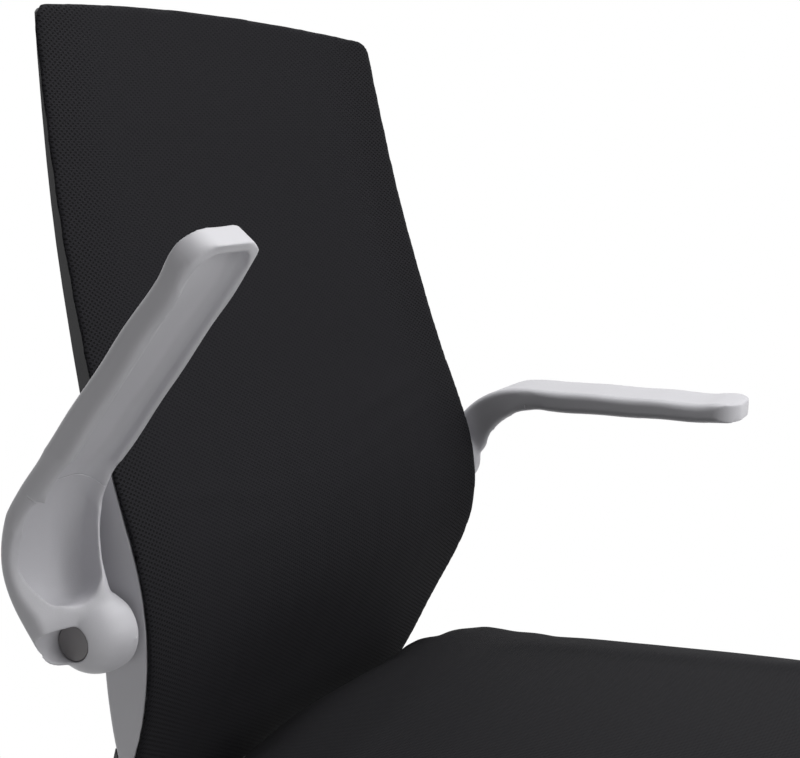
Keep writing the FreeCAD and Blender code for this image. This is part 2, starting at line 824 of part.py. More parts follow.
def seat_plate():
    """Pressed plate under the seat, with two cheeks that hang on the tilt pin."""
    body = new_body()
    wide = s.plate_half
    waist = s.housing_half + s.plate_waist
    front = -s.housing_front
    band = s.plate_band
    slant = s.plate_slant
    back = s.plate_back
    plan = [
        (-wide, front), (wide, front), (wide, front + band), (waist, front + band + slant),
        (waist, back - band - slant), (wide, back - band), (wide, back), (-wide, back),
        (-wide, back - band), (-waist, back - band - slant), (-waist, front + band + slant),
        (-wide, front + band),
    ]
    pad(body, outline(body, "XY_Plane", plan, offset=plate_z), s.steel_sheet)
    cheek = [
        (pivot_y - s.cheek_half, plate_z + 1.0), (pivot_y - s.cheek_half, pivot_z - s.cheek_side),
        (pivot_y - s.cheek_foot, pivot_z - s.cheek_drop), (pivot_y + s.cheek_foot, pivot_z - s.cheek_drop),
        (pivot_y + s.cheek_half, pivot_z - s.cheek_side), (pivot_y + s.cheek_half, plate_z + 1.0),
    ]
    inner = s.housing_half + 1.0
    pad(body, outline(body, "YZ_Plane", cheek, offset=inner), s.steel_sheet)
    pad(body, outline(body, "YZ_Plane", cheek, offset=-inner), s.steel_sheet, back=True)
    pin = circles(body, "YZ_Plane", [(pivot_y, pivot_z, s.pin_radius + s.running_fit)])
    pocket(body, pin, both=True)
    holes = [(x, y, s.screw_radius + s.screw_gap) for x, y in plate_screws()]
    pocket(body, circles(body, "XY_Plane", holes, offset=deck_z), s.steel_sheet * 2.0)
    return keep(body, "seat_plate")


def plate_screws():
    """Places of the screws that hold the plate to the seat board."""
    rows = (-s.plate_bolt_front, s.plate_bolt_back)
    return [(s.plate_bolt_x * side, y) for y in rows for side in (-1.0, 1.0)]


def spine_screws():
    """Places of the screws that hold the spine to the seat board."""
    next_y = s.spine_front + s.spine_screw_next
    first_y = s.spine_front + s.spine_screw_first
    return [(0.0, first_y), (-s.spine_screw_x, next_y), (s.spine_screw_x, next_y)]


def coil(radius, wire, low, high, turns):
    """Spring coil: quarter turns of a helix as arcs, swept by a round wire."""
    quarters = turns * 4
    span = (high - low) / quarters

    def point(step):
        angle = step * math.pi / 2.0
        return Vector(radius * math.cos(angle), radius * math.sin(angle), low + span * step)

    arcs = [Part.Arc(point(i), point(i + 0.5), point(i + 1)).toShape() for i in range(quarters)]
    path = Part.Wire(arcs)
    ring = Part.Wire(Part.Circle(point(0), arcs[0].tangentAt(arcs[0].FirstParameter), wire).toShape())
    gap = (high - low) / turns - wire * 2.0
    print(f"spring: gap between turns {gap:.2f} mm")
    return path.makePipeShell([ring], True, False)


def tension_set():
    """Bolt, spring and knob that set how hard the seat tilts."""
    fit = s.running_fit
    knob_low = knob_top - s.knob_height
    head_low = housing_z + s.steel_sheet
    place(turned("tension_bolt", [
        (0, knob_low + s.bolt_end), (s.bolt_radius, knob_low + s.bolt_end), (s.bolt_radius, head_low),
        (s.bolt_radius + s.bolt_head, head_low), (s.bolt_radius + s.bolt_head, head_low + s.bolt_head_height),
        (0, head_low + s.bolt_head_height),
    ]), y=spring_y)
    wire = float(s.spring_wire)
    low = float(knob_top) + wire + float(s.loose_gap)
    high = float(housing_z) - wire - float(s.loose_gap)
    spring = formed("tension_spring", coil(float(s.spring_radius), wire, low, high, SPRING_TURNS))
    place(spring, y=spring_y)
    body = new_body()
    grip = s.knob_radius
    turn(body, outline(body, "XZ_Plane", [
        (s.bolt_radius + fit, knob_low), (grip - s.knob_chamfer, knob_low), (grip, knob_low + s.knob_chamfer),
        (grip, knob_top - 6.0), (grip - 4.0, knob_top), (s.bolt_radius + fit, knob_top),
    ]))
    scallop = circles(body, "XY_Plane", [(grip + s.groove_out, 0, s.groove_radius)], offset=knob_top)
    groove = pocket(body, scallop, s.knob_height - s.groove_stop)
    spread(body, [groove], KNOB_GROOVES)
    keep(place(body, y=spring_y), "tension_knob")


def tilt_pin():
    half = s.housing_half + s.steel_sheet + s.pin_end
    bar = cylinder(s.pin_radius, half * 2.0, -half, pivot_y, pivot_z, Vector(1, 0, 0))
    return keep(bar, "tilt_pin")


# Lever

def bent_path(points, radius):
    """Open path of straight runs joined by tangent arcs."""
    edges = []
    start = points[0]
    for before, corner, after in zip(points, points[1:], points[2:]):
        first, middle, last = corner_arc(before, corner, after, radius)
        edges.append(Part.LineSegment(start, first).toShape())
        edges.append(Part.Arc(first, middle, last).toShape())
        start = last
    edges.append(Part.LineSegment(start, points[-1]).toShape())
    return Part.Wire(edges)


def corner_arc(before, corner, after, radius):
    """Three points of the arc that rounds a corner."""
    back = (before - corner).normalize()
    ahead = (after - corner).normalize()
    half = back.getAngle(ahead) / 2.0
    cut = radius / math.tan(half)
    bisector = (back + ahead).normalize()
    middle = corner + bisector * (radius / math.sin(half) - radius)
    return corner + back * cut, middle, corner + ahead * cut


def rounded(corners, radii):
    """Closed wire of straight runs and corner arcs."""
    arcs = []
    count = len(corners)
    for index, radius in enumerate(radii):
        before = corners[index - 1]
        after = corners[(index + 1) % count]
        arcs.append(corner_arc(before, corners[index], after, radius))
    edges = []
    for index, (first, middle, last) in enumerate(arcs):
        following = arcs[(index + 1) % count][0]
        edges.append(Part.Arc(first, middle, last).toShape())
        edges.append(Part.LineSegment(last, following).toShape())
    return Part.Wire(edges)


def bar_along(path, radius):
    start = path.Edges[0]
    ring = Part.Circle(start.valueAt(start.FirstParameter), start.tangentAt(start.FirstParameter), radius)
    return path.makePipeShell([Part.Wire(ring.toShape())], True, False)


def lever_set():
    """Slider in the housing wall, bent lever through it, and the flat handle."""
    body = new_body()
    face = box_corners(-8.0, 8.0, lever_z - 9.0, lever_z + 9.0)
    pad(body, outline(body, "YZ_Plane", face, offset=-s.slider_out), s.slider_length)
    way = box_corners(-s.lever_radius - 0.2, s.lever_radius + 0.2, lever_z - s.lever_radius - 1.8,
                      lever_z + s.lever_radius + 1.8)
    pocket(body, outline(body, "YZ_Plane", way), both=True)
    keep(body, "tilt_lock_slider")
    high = float(lever_z)
    low = high - float(s.lever_drop)
    inner = float(s.valve_radius) + float(s.lever_past)
    bend = float(s.slider_out) + float(s.lever_straight)
    reach = float(s.lever_reach)
    lower = bend + float(s.lever_slant)
    route = [Vector(inner, 0, high), Vector(-bend, 0, high), Vector(-lower, 0, low), Vector(-reach, 0, low)]
    formed("height_lever", bar_along(bent_path(route, float(s.lever_bend)), float(s.lever_radius)))
    root = reach - float(s.paddle_grip)
    end = root + float(s.paddle_length)
    half = float(s.paddle_half)
    thick = float(s.paddle_thick)
    floor = low - thick / 2.0
    plan = [Vector(-root, -half * 0.6, floor), Vector(-root, half * 0.6, floor),
            Vector(-end, half, floor), Vector(-end, -half, floor)]
    blade = Part.Face(rounded(plan, [4.0, 4.0, 12.0, 12.0])).extrude(Vector(0, 0, thick))
    blade = blade.makeFillet(3.0, [e for e in blade.Edges if abs(e.BoundBox.ZLength) < 0.01])
    loose = float(s.lever_radius + s.running_fit)
    hole = Part.makeCylinder(loose, float(s.paddle_grip) + 1.0, Vector(-root + 1.0, 0, low), Vector(-1, 0, 0))
    formed("lever_paddle", blade.cut(hole))


# Seat

def seat_ring(inset, height, rise=0.0, rear_inset=None):
    """Plan outline of the seat, drawn in by an inset, on a plane that may rise to the front."""
    front = -float(s.seat_front) + inset
    back = float(s.seat_back) - (inset if rear_inset is None else rear_inset)
    front_half = float(s.seat_front_half) - inset
    back_half_width = float(s.seat_back_half) - inset
    slope = math.tan(math.radians(rise))
    front_side = front + float(s.seat_bow)
    back_side = back - float(s.seat_back_bow)
    plan = [(0.0, front), (front_half, front_side), (back_half_width, back_side),
            (0.0, back), (-back_half_width, back_side), (-front_half, front_side)]
    corners = [Vector(x, y, height - y * slope) for x, y in plan]
    near = max(float(s.seat_front_corner) - inset, float(s.seat_least_corner))
    far = max(float(s.seat_back_corner) - inset, float(s.seat_least_corner))
    sweep = float(s.seat_sweep)
    return rounded(corners, [sweep, near, far, sweep, far, near])


def screw_holes(places, low, high):
    radius = float(s.screw_radius) + float(s.screw_gap)
    return [Part.makeCylinder(radius, high - low, Vector(float(x), float(y), low)) for x, y in places]


def seat():
    low = float(deck_z)
    depth = float(s.pan_depth)
    wall = float(s.pan_wall)
    holes = screw_holes(plate_screws() + spine_screws(), low - 1.0, float(cushion_z))
    outer = loft([seat_ring(inset, low + depth * part) for part, inset in PAN_RINGS])
    lining = [seat_ring(inset + wall, low + wall + depth * part) for part, inset in PAN_RINGS]
    tray = outer.cut(loft(lining))
    for hole in holes:
        tray = tray.cut(hole)
    formed("seat_pan", tray)
    board = Part.Face(seat_ring(float(s.board_inset), float(board_z)))
    board = board.extrude(Vector(0, 0, float(s.board_thick)))
    for hole in holes:
        board = board.cut(hole)
    formed("seat_board", board)
    height = float(s.cushion_height)
    rise = float(s.seat_rise)
    layers = [seat_ring(inset, float(cushion_z) + height * part, rise * part, rear)
              for part, inset, rear in CUSHION_RINGS]
    formed("seat_cushion", loft(layers))


def screws(name, places, seat_level):
    """Screws up into the seat board, with their heads under the given level."""
    pieces = []
    length = board_z + s.board_thick - 2.0 - seat_level
    for x, y in places:
        pieces.append(cylinder(s.screw_radius, length, x, y, seat_level))
        pieces.append(cylinder(s.screw_head, s.head_height, x, y, seat_level - s.head_height))
    return together(name, pieces)


# Back

def back_y(height):
    """Front edge of the back in side view: a lower line, the lumbar arc and a long upper arc."""
    radius = float(s.lumbar_radius)
    up = math.radians(float(s.lean_up))
    down = math.radians(float(s.lean_down))
    rise = height - float(lumbar_z)
    front = float(s.lumbar_y)
    if rise > radius * math.sin(up):
        long = float(s.back_radius)
        turn_sine = math.sin(up) - (rise - radius * math.sin(up)) / long
        return front + radius * (1 - math.cos(up)) + long * (math.cos(math.asin(turn_sine)) - math.cos(up))
    if rise < -radius * math.sin(down):
        fall = -rise - radius * math.sin(down)
        return front + radius * (1 - math.cos(down)) + fall * math.tan(down)
    return front + radius - math.sqrt(radius ** 2 - rise ** 2)


def back_half(height):
    """Half width of the back: widest at the waist, drawn in below and tapering to the top."""
    waist = float(s.waist_half)
    rise = height - float(lumbar_z)
    if rise < 0:
        share = rise / (float(s.lumbar_height) - float(s.back_bottom))
        return waist - (waist - float(s.bottom_half)) * share ** 2
    share = rise / (float(s.back_top) - float(s.lumbar_height))
    return waist - (waist - float(s.top_half)) * share ** 1.3


def hollow_at(x, height):
    """How far the bowed back lies behind its edge at a distance from the middle."""
    return float(s.back_hollow) * (1.0 - (x / back_half(height)) ** 2)


def mesh_rear(inset, height):
    """How far the rear of the mesh lies behind its front edge, at an inset from the side."""
    taper = float(s.mesh_taper)
    knee = hollow_at(back_half(height) - taper, height) + float(s.mesh_thick)
    return mix(float(s.mesh_edge), knee, min(inset / taper, 1.0))


def panel_wire(half_points, front_bow, rear_bow, height):
    """Level section from the points of its left half, front to rear, closed by two bowed faces."""
    left = [Vector(x, y, height) for x, y in half_points]
    right = [Vector(-x, y, height) for x, y in half_points]
    edges = [Part.Arc(right[0], Vector(0, front_bow, height), left[0]).toShape()]
    edges += [Part.LineSegment(a, b).toShape() for a, b in zip(left, left[1:])]
    edges.append(Part.Arc(left[-1], Vector(0, rear_bow, height), right[-1]).toShape())
    edges += [Part.LineSegment(a, b).toShape() for a, b in zip(right[::-1], right[-2::-1])]
    return Part.Wire(edges)


def mesh_section(height):
    """Level section of the bowed mesh, thin and rolled back at its side edges."""
    half = back_half(height)
    front = back_y(height)
    edge = float(s.mesh_edge)
    roll = float(s.mesh_roll)
    taper = float(s.mesh_taper)
    crest = front + float(s.back_hollow)
    points = [
        (half - roll, front + hollow_at(half - roll, height) * 0.6),
        (half - roll * 0.3, front + edge * 0.2),
        (half, front + edge * 0.6),
        (half, front + edge),
        (half - taper, front + mesh_rear(taper, height)),
    ]
    return panel_wire(points, crest, crest + float(s.mesh_thick), height)


def frame_section(height):
    """Level section of the frame behind the mesh: its side edge deepens from the top to the waist."""
    half = back_half(height)
    front = back_y(height)
    share = (height - float(lumbar_z)) / (float(s.back_top) - float(s.lumbar_height))
    share = min(max(share, 0.0), 1.0)
    inset = mix(float(s.frame_inset_waist), float(s.frame_inset_top), share)
    edge = mix(float(s.frame_edge_waist), float(s.frame_edge_top), share)
    gap = float(s.loose_gap)
    knee = float(s.mesh_taper)
    taper = float(s.frame_taper)
    depth = float(s.frame_depth)
    crest = front + float(s.back_hollow) + float(s.mesh_thick) + gap
    deep = hollow_at(half - taper, height) + float(s.mesh_thick) + gap + depth
    points = [
        (half - knee, front + mesh_rear(knee, height) + gap),
        (half - inset, front + mesh_rear(inset, height) + gap),
        (half - inset, front + edge + inset * FRAME_LEAN),
        (half - taper, front + deep),
    ]
    return panel_wire(points, crest, crest + depth, height)


def back_levels(low, high, count):
    return [low + (high - low) * step / (count - 1) for step in range(count)]


def top_trim(inset):
    """Block that rounds the two top corners of the back and bows its top edge."""
    radius = float(s.top_corner)
    top = float(back_top_z) - inset
    shoulder = top - float(s.top_bow) - radius
    half = back_half(shoulder) - inset
    low = float(back_bottom_z) - 10.0
    wide = float(s.waist_half) + 60.0
    bevel = math.sqrt(0.5) * radius
    centre = half - radius
    points = [Vector(x, -500.0, z) for x, z in (
        (-wide, low), (wide, low), (wide, shoulder), (half, shoulder), (centre, shoulder + radius),
        (-centre, shoulder + radius), (-half, shoulder), (-wide, shoulder))]
    right = Part.Arc(points[3], Vector(centre + bevel, -500.0, shoulder + bevel), points[4]).toShape()
    crest = Part.Arc(points[4], Vector(0, -500.0, top), points[5]).toShape()
    left = Part.Arc(points[5], Vector(-centre - bevel, -500.0, shoulder + bevel), points[6]).toShape()
    runs = [(0, 1), (1, 2), (2, 3), (6, 7), (7, 0)]
    lines = [Part.LineSegment(points[a], points[b]).toShape() for a, b in runs]
    wire = Part.Wire([*lines[:3], right, crest, left, *lines[3:]])
    return Part.Face(wire).extrude(Vector(0, 1000.0, 0))


def back():
    low = float(back_bottom_z)
    high = float(back_top_z)
    levels = back_levels(low, high + 2.0, BACK_LEVELS)
    panel = loft([mesh_section(z) for z in levels])
    formed("back_mesh", panel.common(top_trim(0.0)))
    ring = loft([frame_section(z) for z in levels])
    ring = ring.common(top_trim(float(s.frame_inset_waist)))
    for room in (ear_leaf(float(s.nest_gap)), wing(float(s.nest_gap))):
        ring = ring.cut(room).cut(mirrored(room))
    rim = float(s.frame_rim)
    sill = float(lumbar_z) - float(s.window_sill)
    waist = float(lumbar_z)
    crown = high - rim
    corners = [(-back_half(sill), sill), (back_half(sill), sill), (back_half(waist), waist),
               (back_half(crown), crown), (-back_half(crown), crown), (-back_half(waist), waist)]
    inner = [Vector(x - math.copysign(rim + float(s.window_inset), x), -500.0, z) for x, z in corners]
    window = Part.Face(rounded(inner, [30.0, 30.0, 300.0, 30.0, 30.0, 300.0])).extrude(Vector(0, 1000.0, 0))
    ring = ring.cut(window)
    for hole in back_screw_bars(float(s.screw_radius) + float(s.screw_gap), 0.0):
        ring = ring.cut(hole)
    formed("back_frame", ring)


# Rear frame

def mirrored(shape):
    """The same shape on the other side of the chair."""
    return shape.mirror(Vector(0, 0, 0), Vector(1, 0, 0))


def spine_route():
    """Middle line of the spine: under the seat, round the bend and up behind the back."""
    level = float(deck_z) - float(s.spine_thick) / 2.0 - float(s.loose_gap)
    lean = math.radians(float(s.lean_down))
    radius = float(s.spine_bend)
    turn_angle = math.pi / 2.0 + lean
    bend_end = level + radius * (1 - math.cos(turn_angle))
    behind = float(s.mesh_thick) + float(s.frame_depth) + float(s.back_hollow) + 2.0
    end_y = back_y(bend_end) + behind + float(s.spine_thick) / 2.0 / math.cos(lean)
    bend_start = end_y - radius * math.sin(turn_angle)
    centre = Vector(0, bend_start, level + radius)

    def on_bend(angle):
        return centre + Vector(0, radius * math.sin(angle), -radius * math.cos(angle))

    start = Vector(0, float(s.spine_front), level)
    rise = float(s.spine_rise)
    end = on_bend(turn_angle)
    top = end + Vector(0, -math.sin(lean), math.cos(lean)) * rise
    edges = [
        Part.LineSegment(start, on_bend(0.0)).toShape(),
        Part.Arc(on_bend(0.0), on_bend(turn_angle / 2.0), end).toShape(),
        Part.LineSegment(end, top).toShape(),
    ]
    return Part.Wire(edges), end, top


def spine():
    path = spine_route()[0]
    half = float(s.spine_half)
    thick = float(s.spine_thick) / 2.0
    start = path.Vertexes[0].Point
    places = ((-half, -thick), (half, -thick), (half, thick), (-half, thick))
    corners = [start + Vector(x, 0, z) for x, z in places]
    section = rounded(corners, [5.0] * 4)
    return path.makePipeShell([section], True, False)


def behind_back(x, height, distance):
    """Point at a distance behind the back frame, and the direction square to the back there."""
    step = 1.0
    slope = (back_y(height + step) - back_y(height - step)) / (step * 2.0)
    bend = 2.0 * float(s.back_hollow) * x / back_half(height) ** 2
    rear = Vector(bend, 1.0, -slope).normalize()
    skin = float(s.mesh_thick) + float(s.loose_gap) + float(s.frame_depth)
    return Vector(x, back_y(height) + hollow_at(x, height) + skin, height) + rear * distance, rear


def wing_section(spot, along, rear, height, thick):
    """Rounded section of a wing, square to its run and leaning with the back."""
    up = along.cross(rear).normalize()
    if up.z < 0:
        up = up * -1.0
    out = up.cross(along).normalize()
    corners = [spot + up * (a * height / 2.0) + out * (b * thick / 2.0)
               for a, b in ((-1, -1), (1, -1), (1, 1), (-1, 1))]
    return rounded(corners, [float(s.wing_edge)] * 4)


def wing(margin):
    """Left wing, from the spine behind the back out to the ear, grown by a margin."""
    tip_x = float(s.waist_half) - float(s.ear_thick) / 2.0 - 1.0
    spots = []
    for share, rise in WING_RUN:
        thick = mix(float(s.wing_thick), float(s.wing_end), share)
        spots.append(behind_back(tip_x * share, float(lumbar_z) + rise, thick / 2.0 + float(s.wing_gap)))
    sections = []
    for index, (spot, rear) in enumerate(spots):
        along = spots[min(index + 1, len(spots) - 1)][0] - spots[max(index - 1, 0)][0]
        share = WING_RUN[index][0]
        height = mix(float(s.wing_root), float(s.wing_tip), share) + margin * 2.0
        thick = mix(float(s.wing_thick), float(s.wing_end), share) + margin * 2.0
        sections.append(wing_section(spot, along.normalize(), rear, height, thick))
    limit = Part.makeBox(float(s.waist_half) - 1.0, 500.0, 500.0, Vector(0, 0, float(deck_z)))
    return loft(sections).common(limit)


def ear_leaf(margin):
    """Leaf that fills the left side between the mesh edge and an upright rear line, grown by a margin."""
    thick = float(s.ear_thick) + margin
    rear = float(s.ear_back)
    foot = float(lumbar_z) - float(s.ear_below) - margin
    tip = float(lumbar_z) + float(s.ear_above) + margin
    clear = float(s.loose_gap) * 2.0 - margin * 10.0
    sections = []
    for z in back_levels(foot, tip, EAR_LEVELS):
        half = back_half(z)
        outside = half - float(s.ear_inset)
        inside = outside - thick
        front_out = back_y(z) + mesh_rear(half - outside, z) + clear
        front_in = back_y(z) + mesh_rear(half - inside, z) + clear
        lean = max(z - float(arm_z) - float(s.ear_straight), 0.0) * EAR_LEAN
        back_edge = max(rear + lean, front_in + float(s.ear_least)) + margin
        edge = min(3.0, (back_edge - front_out) * 0.3)
        far = outside + margin * 4.0
        corners = [Vector(x, y, z) for x, y in (
            (inside, front_in), (far, front_out), (far, back_edge), (inside, back_edge))]
        sections.append(rounded(corners, [0.8, 0.8, edge, 0.8]))
    return loft(sections)


def ear():
    """Left ear with the boss that carries the arm pivot."""
    thick = float(s.ear_thick)
    inside = Vector(float(s.waist_half - s.ear_inset) - thick, float(arm_y), float(arm_z))
    boss = Part.makeCylinder(float(s.ear_boss), thick, inside, Vector(1, 0, 0))
    return ear_leaf(0.0).fuse(boss)


def back_screw_bars(radius, extra):
    """Round bars on the lines of the screws that hold the back frame to the spine."""
    _, end, top = spine_route()
    lean = math.radians(float(s.lean_down))
    into = Vector(0, -math.cos(lean), -math.sin(lean))
    bars = []
    for share in (0.25, 0.8):
        middle = end + (top - end) * share
        start = middle - into * (float(s.spine_thick) / 2.0 + extra)
        length = float(s.spine_thick) + float(s.frame_depth) + extra
        for side in (-float(s.back_screw_x), float(s.back_screw_x)):
            bars.append(Part.makeCylinder(radius, length, start + Vector(side, 0, 0), into))
    return bars


def rear_frame():
    side = wing(0.0).fuse(ear())
    body = spine().fuse([side, mirrored(side)])
    low = float(deck_z) - float(s.spine_thick) - 1.0
    for hole in screw_holes(spine_screws(), low, float(deck_z) + 1.0):
        body = body.cut(hole)
    for hole in back_screw_bars(float(s.screw_radius) + float(s.screw_gap), 1.0):
        body = body.cut(hole)
    inner = float(s.waist_half - s.ear_inset - s.ear_thick) - 1.0
    for side in (1.0, -1.0):
        spot = Vector(side * inner, float(arm_y), float(arm_z))
        length = float(s.ear_thick) + 2.0
        bore = Part.makeCylinder(float(s.pin_radius + s.press_fit), length, spot, Vector(side, 0, 0))
        body = body.cut(bore)
    formed("rear_frame", body)


def back_screws():
    """Four screws from behind the spine into the back frame."""
    shanks = back_screw_bars(float(s.screw_radius), 0.0)
    heads = back_screw_bars(float(s.screw_head), float(s.head_height))
    lean = math.radians(float(s.lean_down))
    into = Vector(0, -math.cos(lean), -math.sin(lean))
    solids = []
    for shank, head in zip(shanks, heads):
        base = head.Faces[0].Surface.Center
        cap = Part.makeCylinder(float(s.screw_head), float(s.head_height), base, into)
        solids.append(shank.fuse(cap).removeSplitter())
    formed("back_screws", Part.makeCompound(solids))


# Arms

def elbow(degrees):
    """Under and upper point of the arm where it turns down, at an angle up from the level."""
    y = float(arm_y)
    top = float(arm_z) + float(s.arm_rise)
    inner = float(s.elbow_inner)
    outer = float(s.elbow_outer)
    under = Vector(0, y - float(s.elbow_inner_back), top - float(s.pad_thick + s.pad_fall) - inner)
    over = Vector(0, y - float(s.elbow_outer_back), top - outer)
    angle = math.radians(degrees)
    ray = Vector(0, math.cos(angle), math.sin(angle))
    return under + ray * inner, over + ray * outer


def pad_points():
    """Under and upper points along the level part of the arm, from its tip to the elbow."""
    top = float(arm_z) + float(s.arm_rise)
    tip = float(arm_y) - float(s.arm_reach)
    under_end = float(arm_y) - float(s.elbow_inner_back) - float(s.pad_under_end)
    over_end = float(arm_y) - float(s.elbow_outer_back) - float(s.pad_over_end)
    points = []
    for step in range(PAD_STATIONS):
        share = step / (PAD_STATIONS - 1)
        fall = float(s.pad_thick) + float(s.pad_fall) * share
        points.append((Vector(0, mix(tip, under_end, share), top - fall),
                       Vector(0, mix(tip, over_end, share), top)))
    return points


def arm_section(low, high, x0, x1, radii, under=0.0, rear=0.0):
    """Section of the arm; the outer ends of its under and rear side can be set back."""
    up = (high - low).normalize()
    ring = ((x0, low), (x1, low + up * under), (x1, high - up * rear), (x0, high))
    return rounded([Vector(x, point.y, point.z) for x, point in ring], radii)


def arm_body():
    """Solid arm: level pad, elbow, and a lower end drawn in to a dome under the pivot."""
    x0 = float(arm_inner)
    x1 = float(arm_outer)
    edge = float(s.arm_edge)
    sections = [arm_section(low, high, x0, x1, [edge] * 4) for low, high in pad_points()]
    for degrees, inner, outer, under, rear, round_under, round_rear in ELBOW_RUN:
        low, high = elbow(degrees)
        radii = [edge, round_under, round_rear, edge]
        sections.append(arm_section(low, high, x0 + inner, x1 - outer, radii, under, rear))
    y = float(arm_y)
    scale = float(s.hub_radius_arm)
    for height, half, inner, width, under, rear, corner in ARM_END:
        low = Vector(0, y - half * scale, float(arm_z) + height * scale)
        high = Vector(0, y + half * scale, float(arm_z) + height * scale)
        reach = x0 + float(s.arm_width) * width
        small = min(corner, edge)
        radii = [small, corner, corner, small]
        sections.append(arm_section(low, high, x0 + inner, reach, radii, under, rear))
    return loft(sections)


def tip_plan(inset, corner):
    """Upright block that gives the arm, or its recess, a round tip in plan."""
    tip = float(arm_y) - float(s.arm_reach) + inset
    rear = float(arm_y) + float(s.arm_reach)
    low = float(arm_z) - float(s.arm_reach)
    x0 = float(arm_inner) + inset
    x1 = float(arm_outer) - inset
    flare = 1.0
    plan = [
        Vector(x0, tip, low), Vector(x1, tip, low),
        Vector(x1 + flare, rear, low), Vector(x0 - flare, rear, low),
    ]
    face = Part.Face(rounded(plan, [corner, corner, flare, flare]))
    return face.extrude(Vector(0, 0, float(s.arm_reach) * 2.0))


def arm_recess(grow):
    """Smooth trough under the arm that runs out like a spoon above the hub, grown by a margin."""
    lip = float(s.recess_lip) - grow
    x0 = float(arm_inner) + lip
    x1 = float(arm_outer) - lip
    drop = float(s.recess_drop)
    stations = [(low, high, 0.0, 0.0, 1.0) for low, high in pad_points()]
    stations += [(*elbow(degrees), inner, outer, share) for degrees, inner, outer, share in RECESS_RUN]
    sections = []
    for low, high, inner, outer, share in stations:
        up = (high - low).normalize()
        depth = ((high - low).Length - float(s.recess_wall)) * share
        widest = (x1 - outer - x0 - inner) * 0.4
        round_in = min(max(depth * 0.7, float(s.recess_corner)), float(s.recess_sweep), widest)
        round_out = min(float(s.recess_corner), widest)
        roof = low + up * (depth + grow)
        radii = [1.0, 1.0, round_out + grow / 2.0, round_in + grow / 2.0]
        sections.append(arm_section(low - up * drop, roof, x0 + inner, x1 - outer, radii))
    return loft(sections)


def before_seam(gap):
    """Block in front of the seam where the lining of the recess ends."""
    seam = pad_points()[-1][1].y + float(s.seam_back) - gap
    size = float(s.arm_reach) * 2.0
    return Part.makeBox(size * 2.0, size, size, Vector(0, seam - size, float(arm_z)))


def arm_hub():
    """Round hub along X with a domed outer end."""
    radius = float(s.hub_radius_arm)
    x0 = float(arm_inner)
    shoulder = x0 + float(s.hub_shoulder)
    dome = shoulder + float(s.hub_dome)
    small = float(s.hub_edge)
    y = float(arm_y)
    z = float(arm_z)
    spots = ((x0, 0.0), (x0, radius - small), (x0 + small, radius), (shoulder, radius))
    points = [Vector(x, y, z + r) for x, r in spots]
    middle = Vector(shoulder, y, z)
    end = Vector(dome, y, z)
    round_end = Part.ArcOfEllipse(Part.Ellipse(end, points[-1], middle), 0.0, math.pi / 2.0)
    edges = [Part.LineSegment(a, b).toShape() for a, b in zip(points, points[1:])]
    edges += [round_end.toShape(), Part.LineSegment(end, points[0]).toShape()]
    profile = Part.Face(Part.Wire(Part.__sortEdges__(edges)))
    return profile.revolve(points[0], Vector(1, 0, 0), 360)


def blended(body):
    """Arm with a fillet where the domed hub grows out of it, as large as the faces take."""
    seam = []
    for edge in body.Edges:
        sides = {face.Surface.TypeId for face in body.Faces if any(edge.isSame(item) for item in face.Edges)}
        if sides == {"Part::GeomSurfaceOfRevolution", "Part::GeomBSplineSurface"}:
            seam.append(edge)
    for share in BLEND_SHARES:
        try:
            smooth = body.makeFillet(float(s.hub_blend) * share, seam)
        except Part.OCCError:
            continue
        if smooth.isValid() and len(smooth.Solids) == 1:
            return smooth
    return body


def cap_face():
    """X of the sunk seat that the pivot head lies against."""
    return float(arm_inner) + float(s.cap_seat)


def arm_shell():
    """Arm with its round tip, recess, lining bed, hub and pivot bores."""
    lip = float(s.recess_lip)
    bed = float(s.panel_thick) + float(s.loose_gap)
    tip = float(s.tip_round)
    body = blended(arm_body().common(tip_plan(0.0, tip)).fuse(arm_hub()))
    trough = arm_recess(0.0).common(tip_plan(lip, tip - lip))
    deeper = arm_recess(bed).common(tip_plan(lip - bed, tip - lip + bed)).common(before_seam(0.0))
    body = body.cut(trough).cut(deeper)
    axis = Vector(1, 0, 0)
    length = float(s.arm_width) + 2.0
    inner = Vector(float(arm_inner) - 1.0, float(arm_y), float(arm_z))
    sunk = Vector(cap_face(), float(arm_y), float(arm_z))
    body = body.cut(Part.makeCylinder(float(s.pin_radius + s.running_fit), length, inner, axis))
    return body.cut(Part.makeCylinder(float(s.cap_radius) + float(s.cap_gap), length, sunk, axis))


def arm_panel():
    """Lining of the recess, from the tip to the seam at the elbow, flush with the trough behind it."""
    lip = float(s.recess_lip)
    thick = float(s.panel_thick)
    tip = float(s.tip_round)
    lining = arm_recess(thick).common(tip_plan(lip - thick, tip - lip + thick))
    lining = lining.cut(arm_recess(0.0).common(tip_plan(lip, tip - lip)))
    stations = pad_points() + [elbow(run[0]) for run in ELBOW_RUN[:2]]
    under = [low + (high - low).normalize() * float(s.panel_set) for low, high in stations]
    over = [high for _, high in reversed(stations)]
    layer = Part.Face(Part.makePolygon([*under, *over, under[0]])).extrude(Vector(float(arm_outer), 0, 0))
    return lining.common(before_seam(float(s.loose_gap))).common(layer)


def hub_cap():
    """Small disc over the pivot head, with a rounded face."""
    face = cap_face() + float(s.pivot_head) + float(s.cap_lift)
    spot = Vector(face, float(arm_y), float(arm_z))
    cap = Part.makeCylinder(float(s.cap_radius), float(s.cap_thick), spot, Vector(1, 0, 0))
    return cap.makeFillet(float(s.cap_round), [cap.Edges[0]])


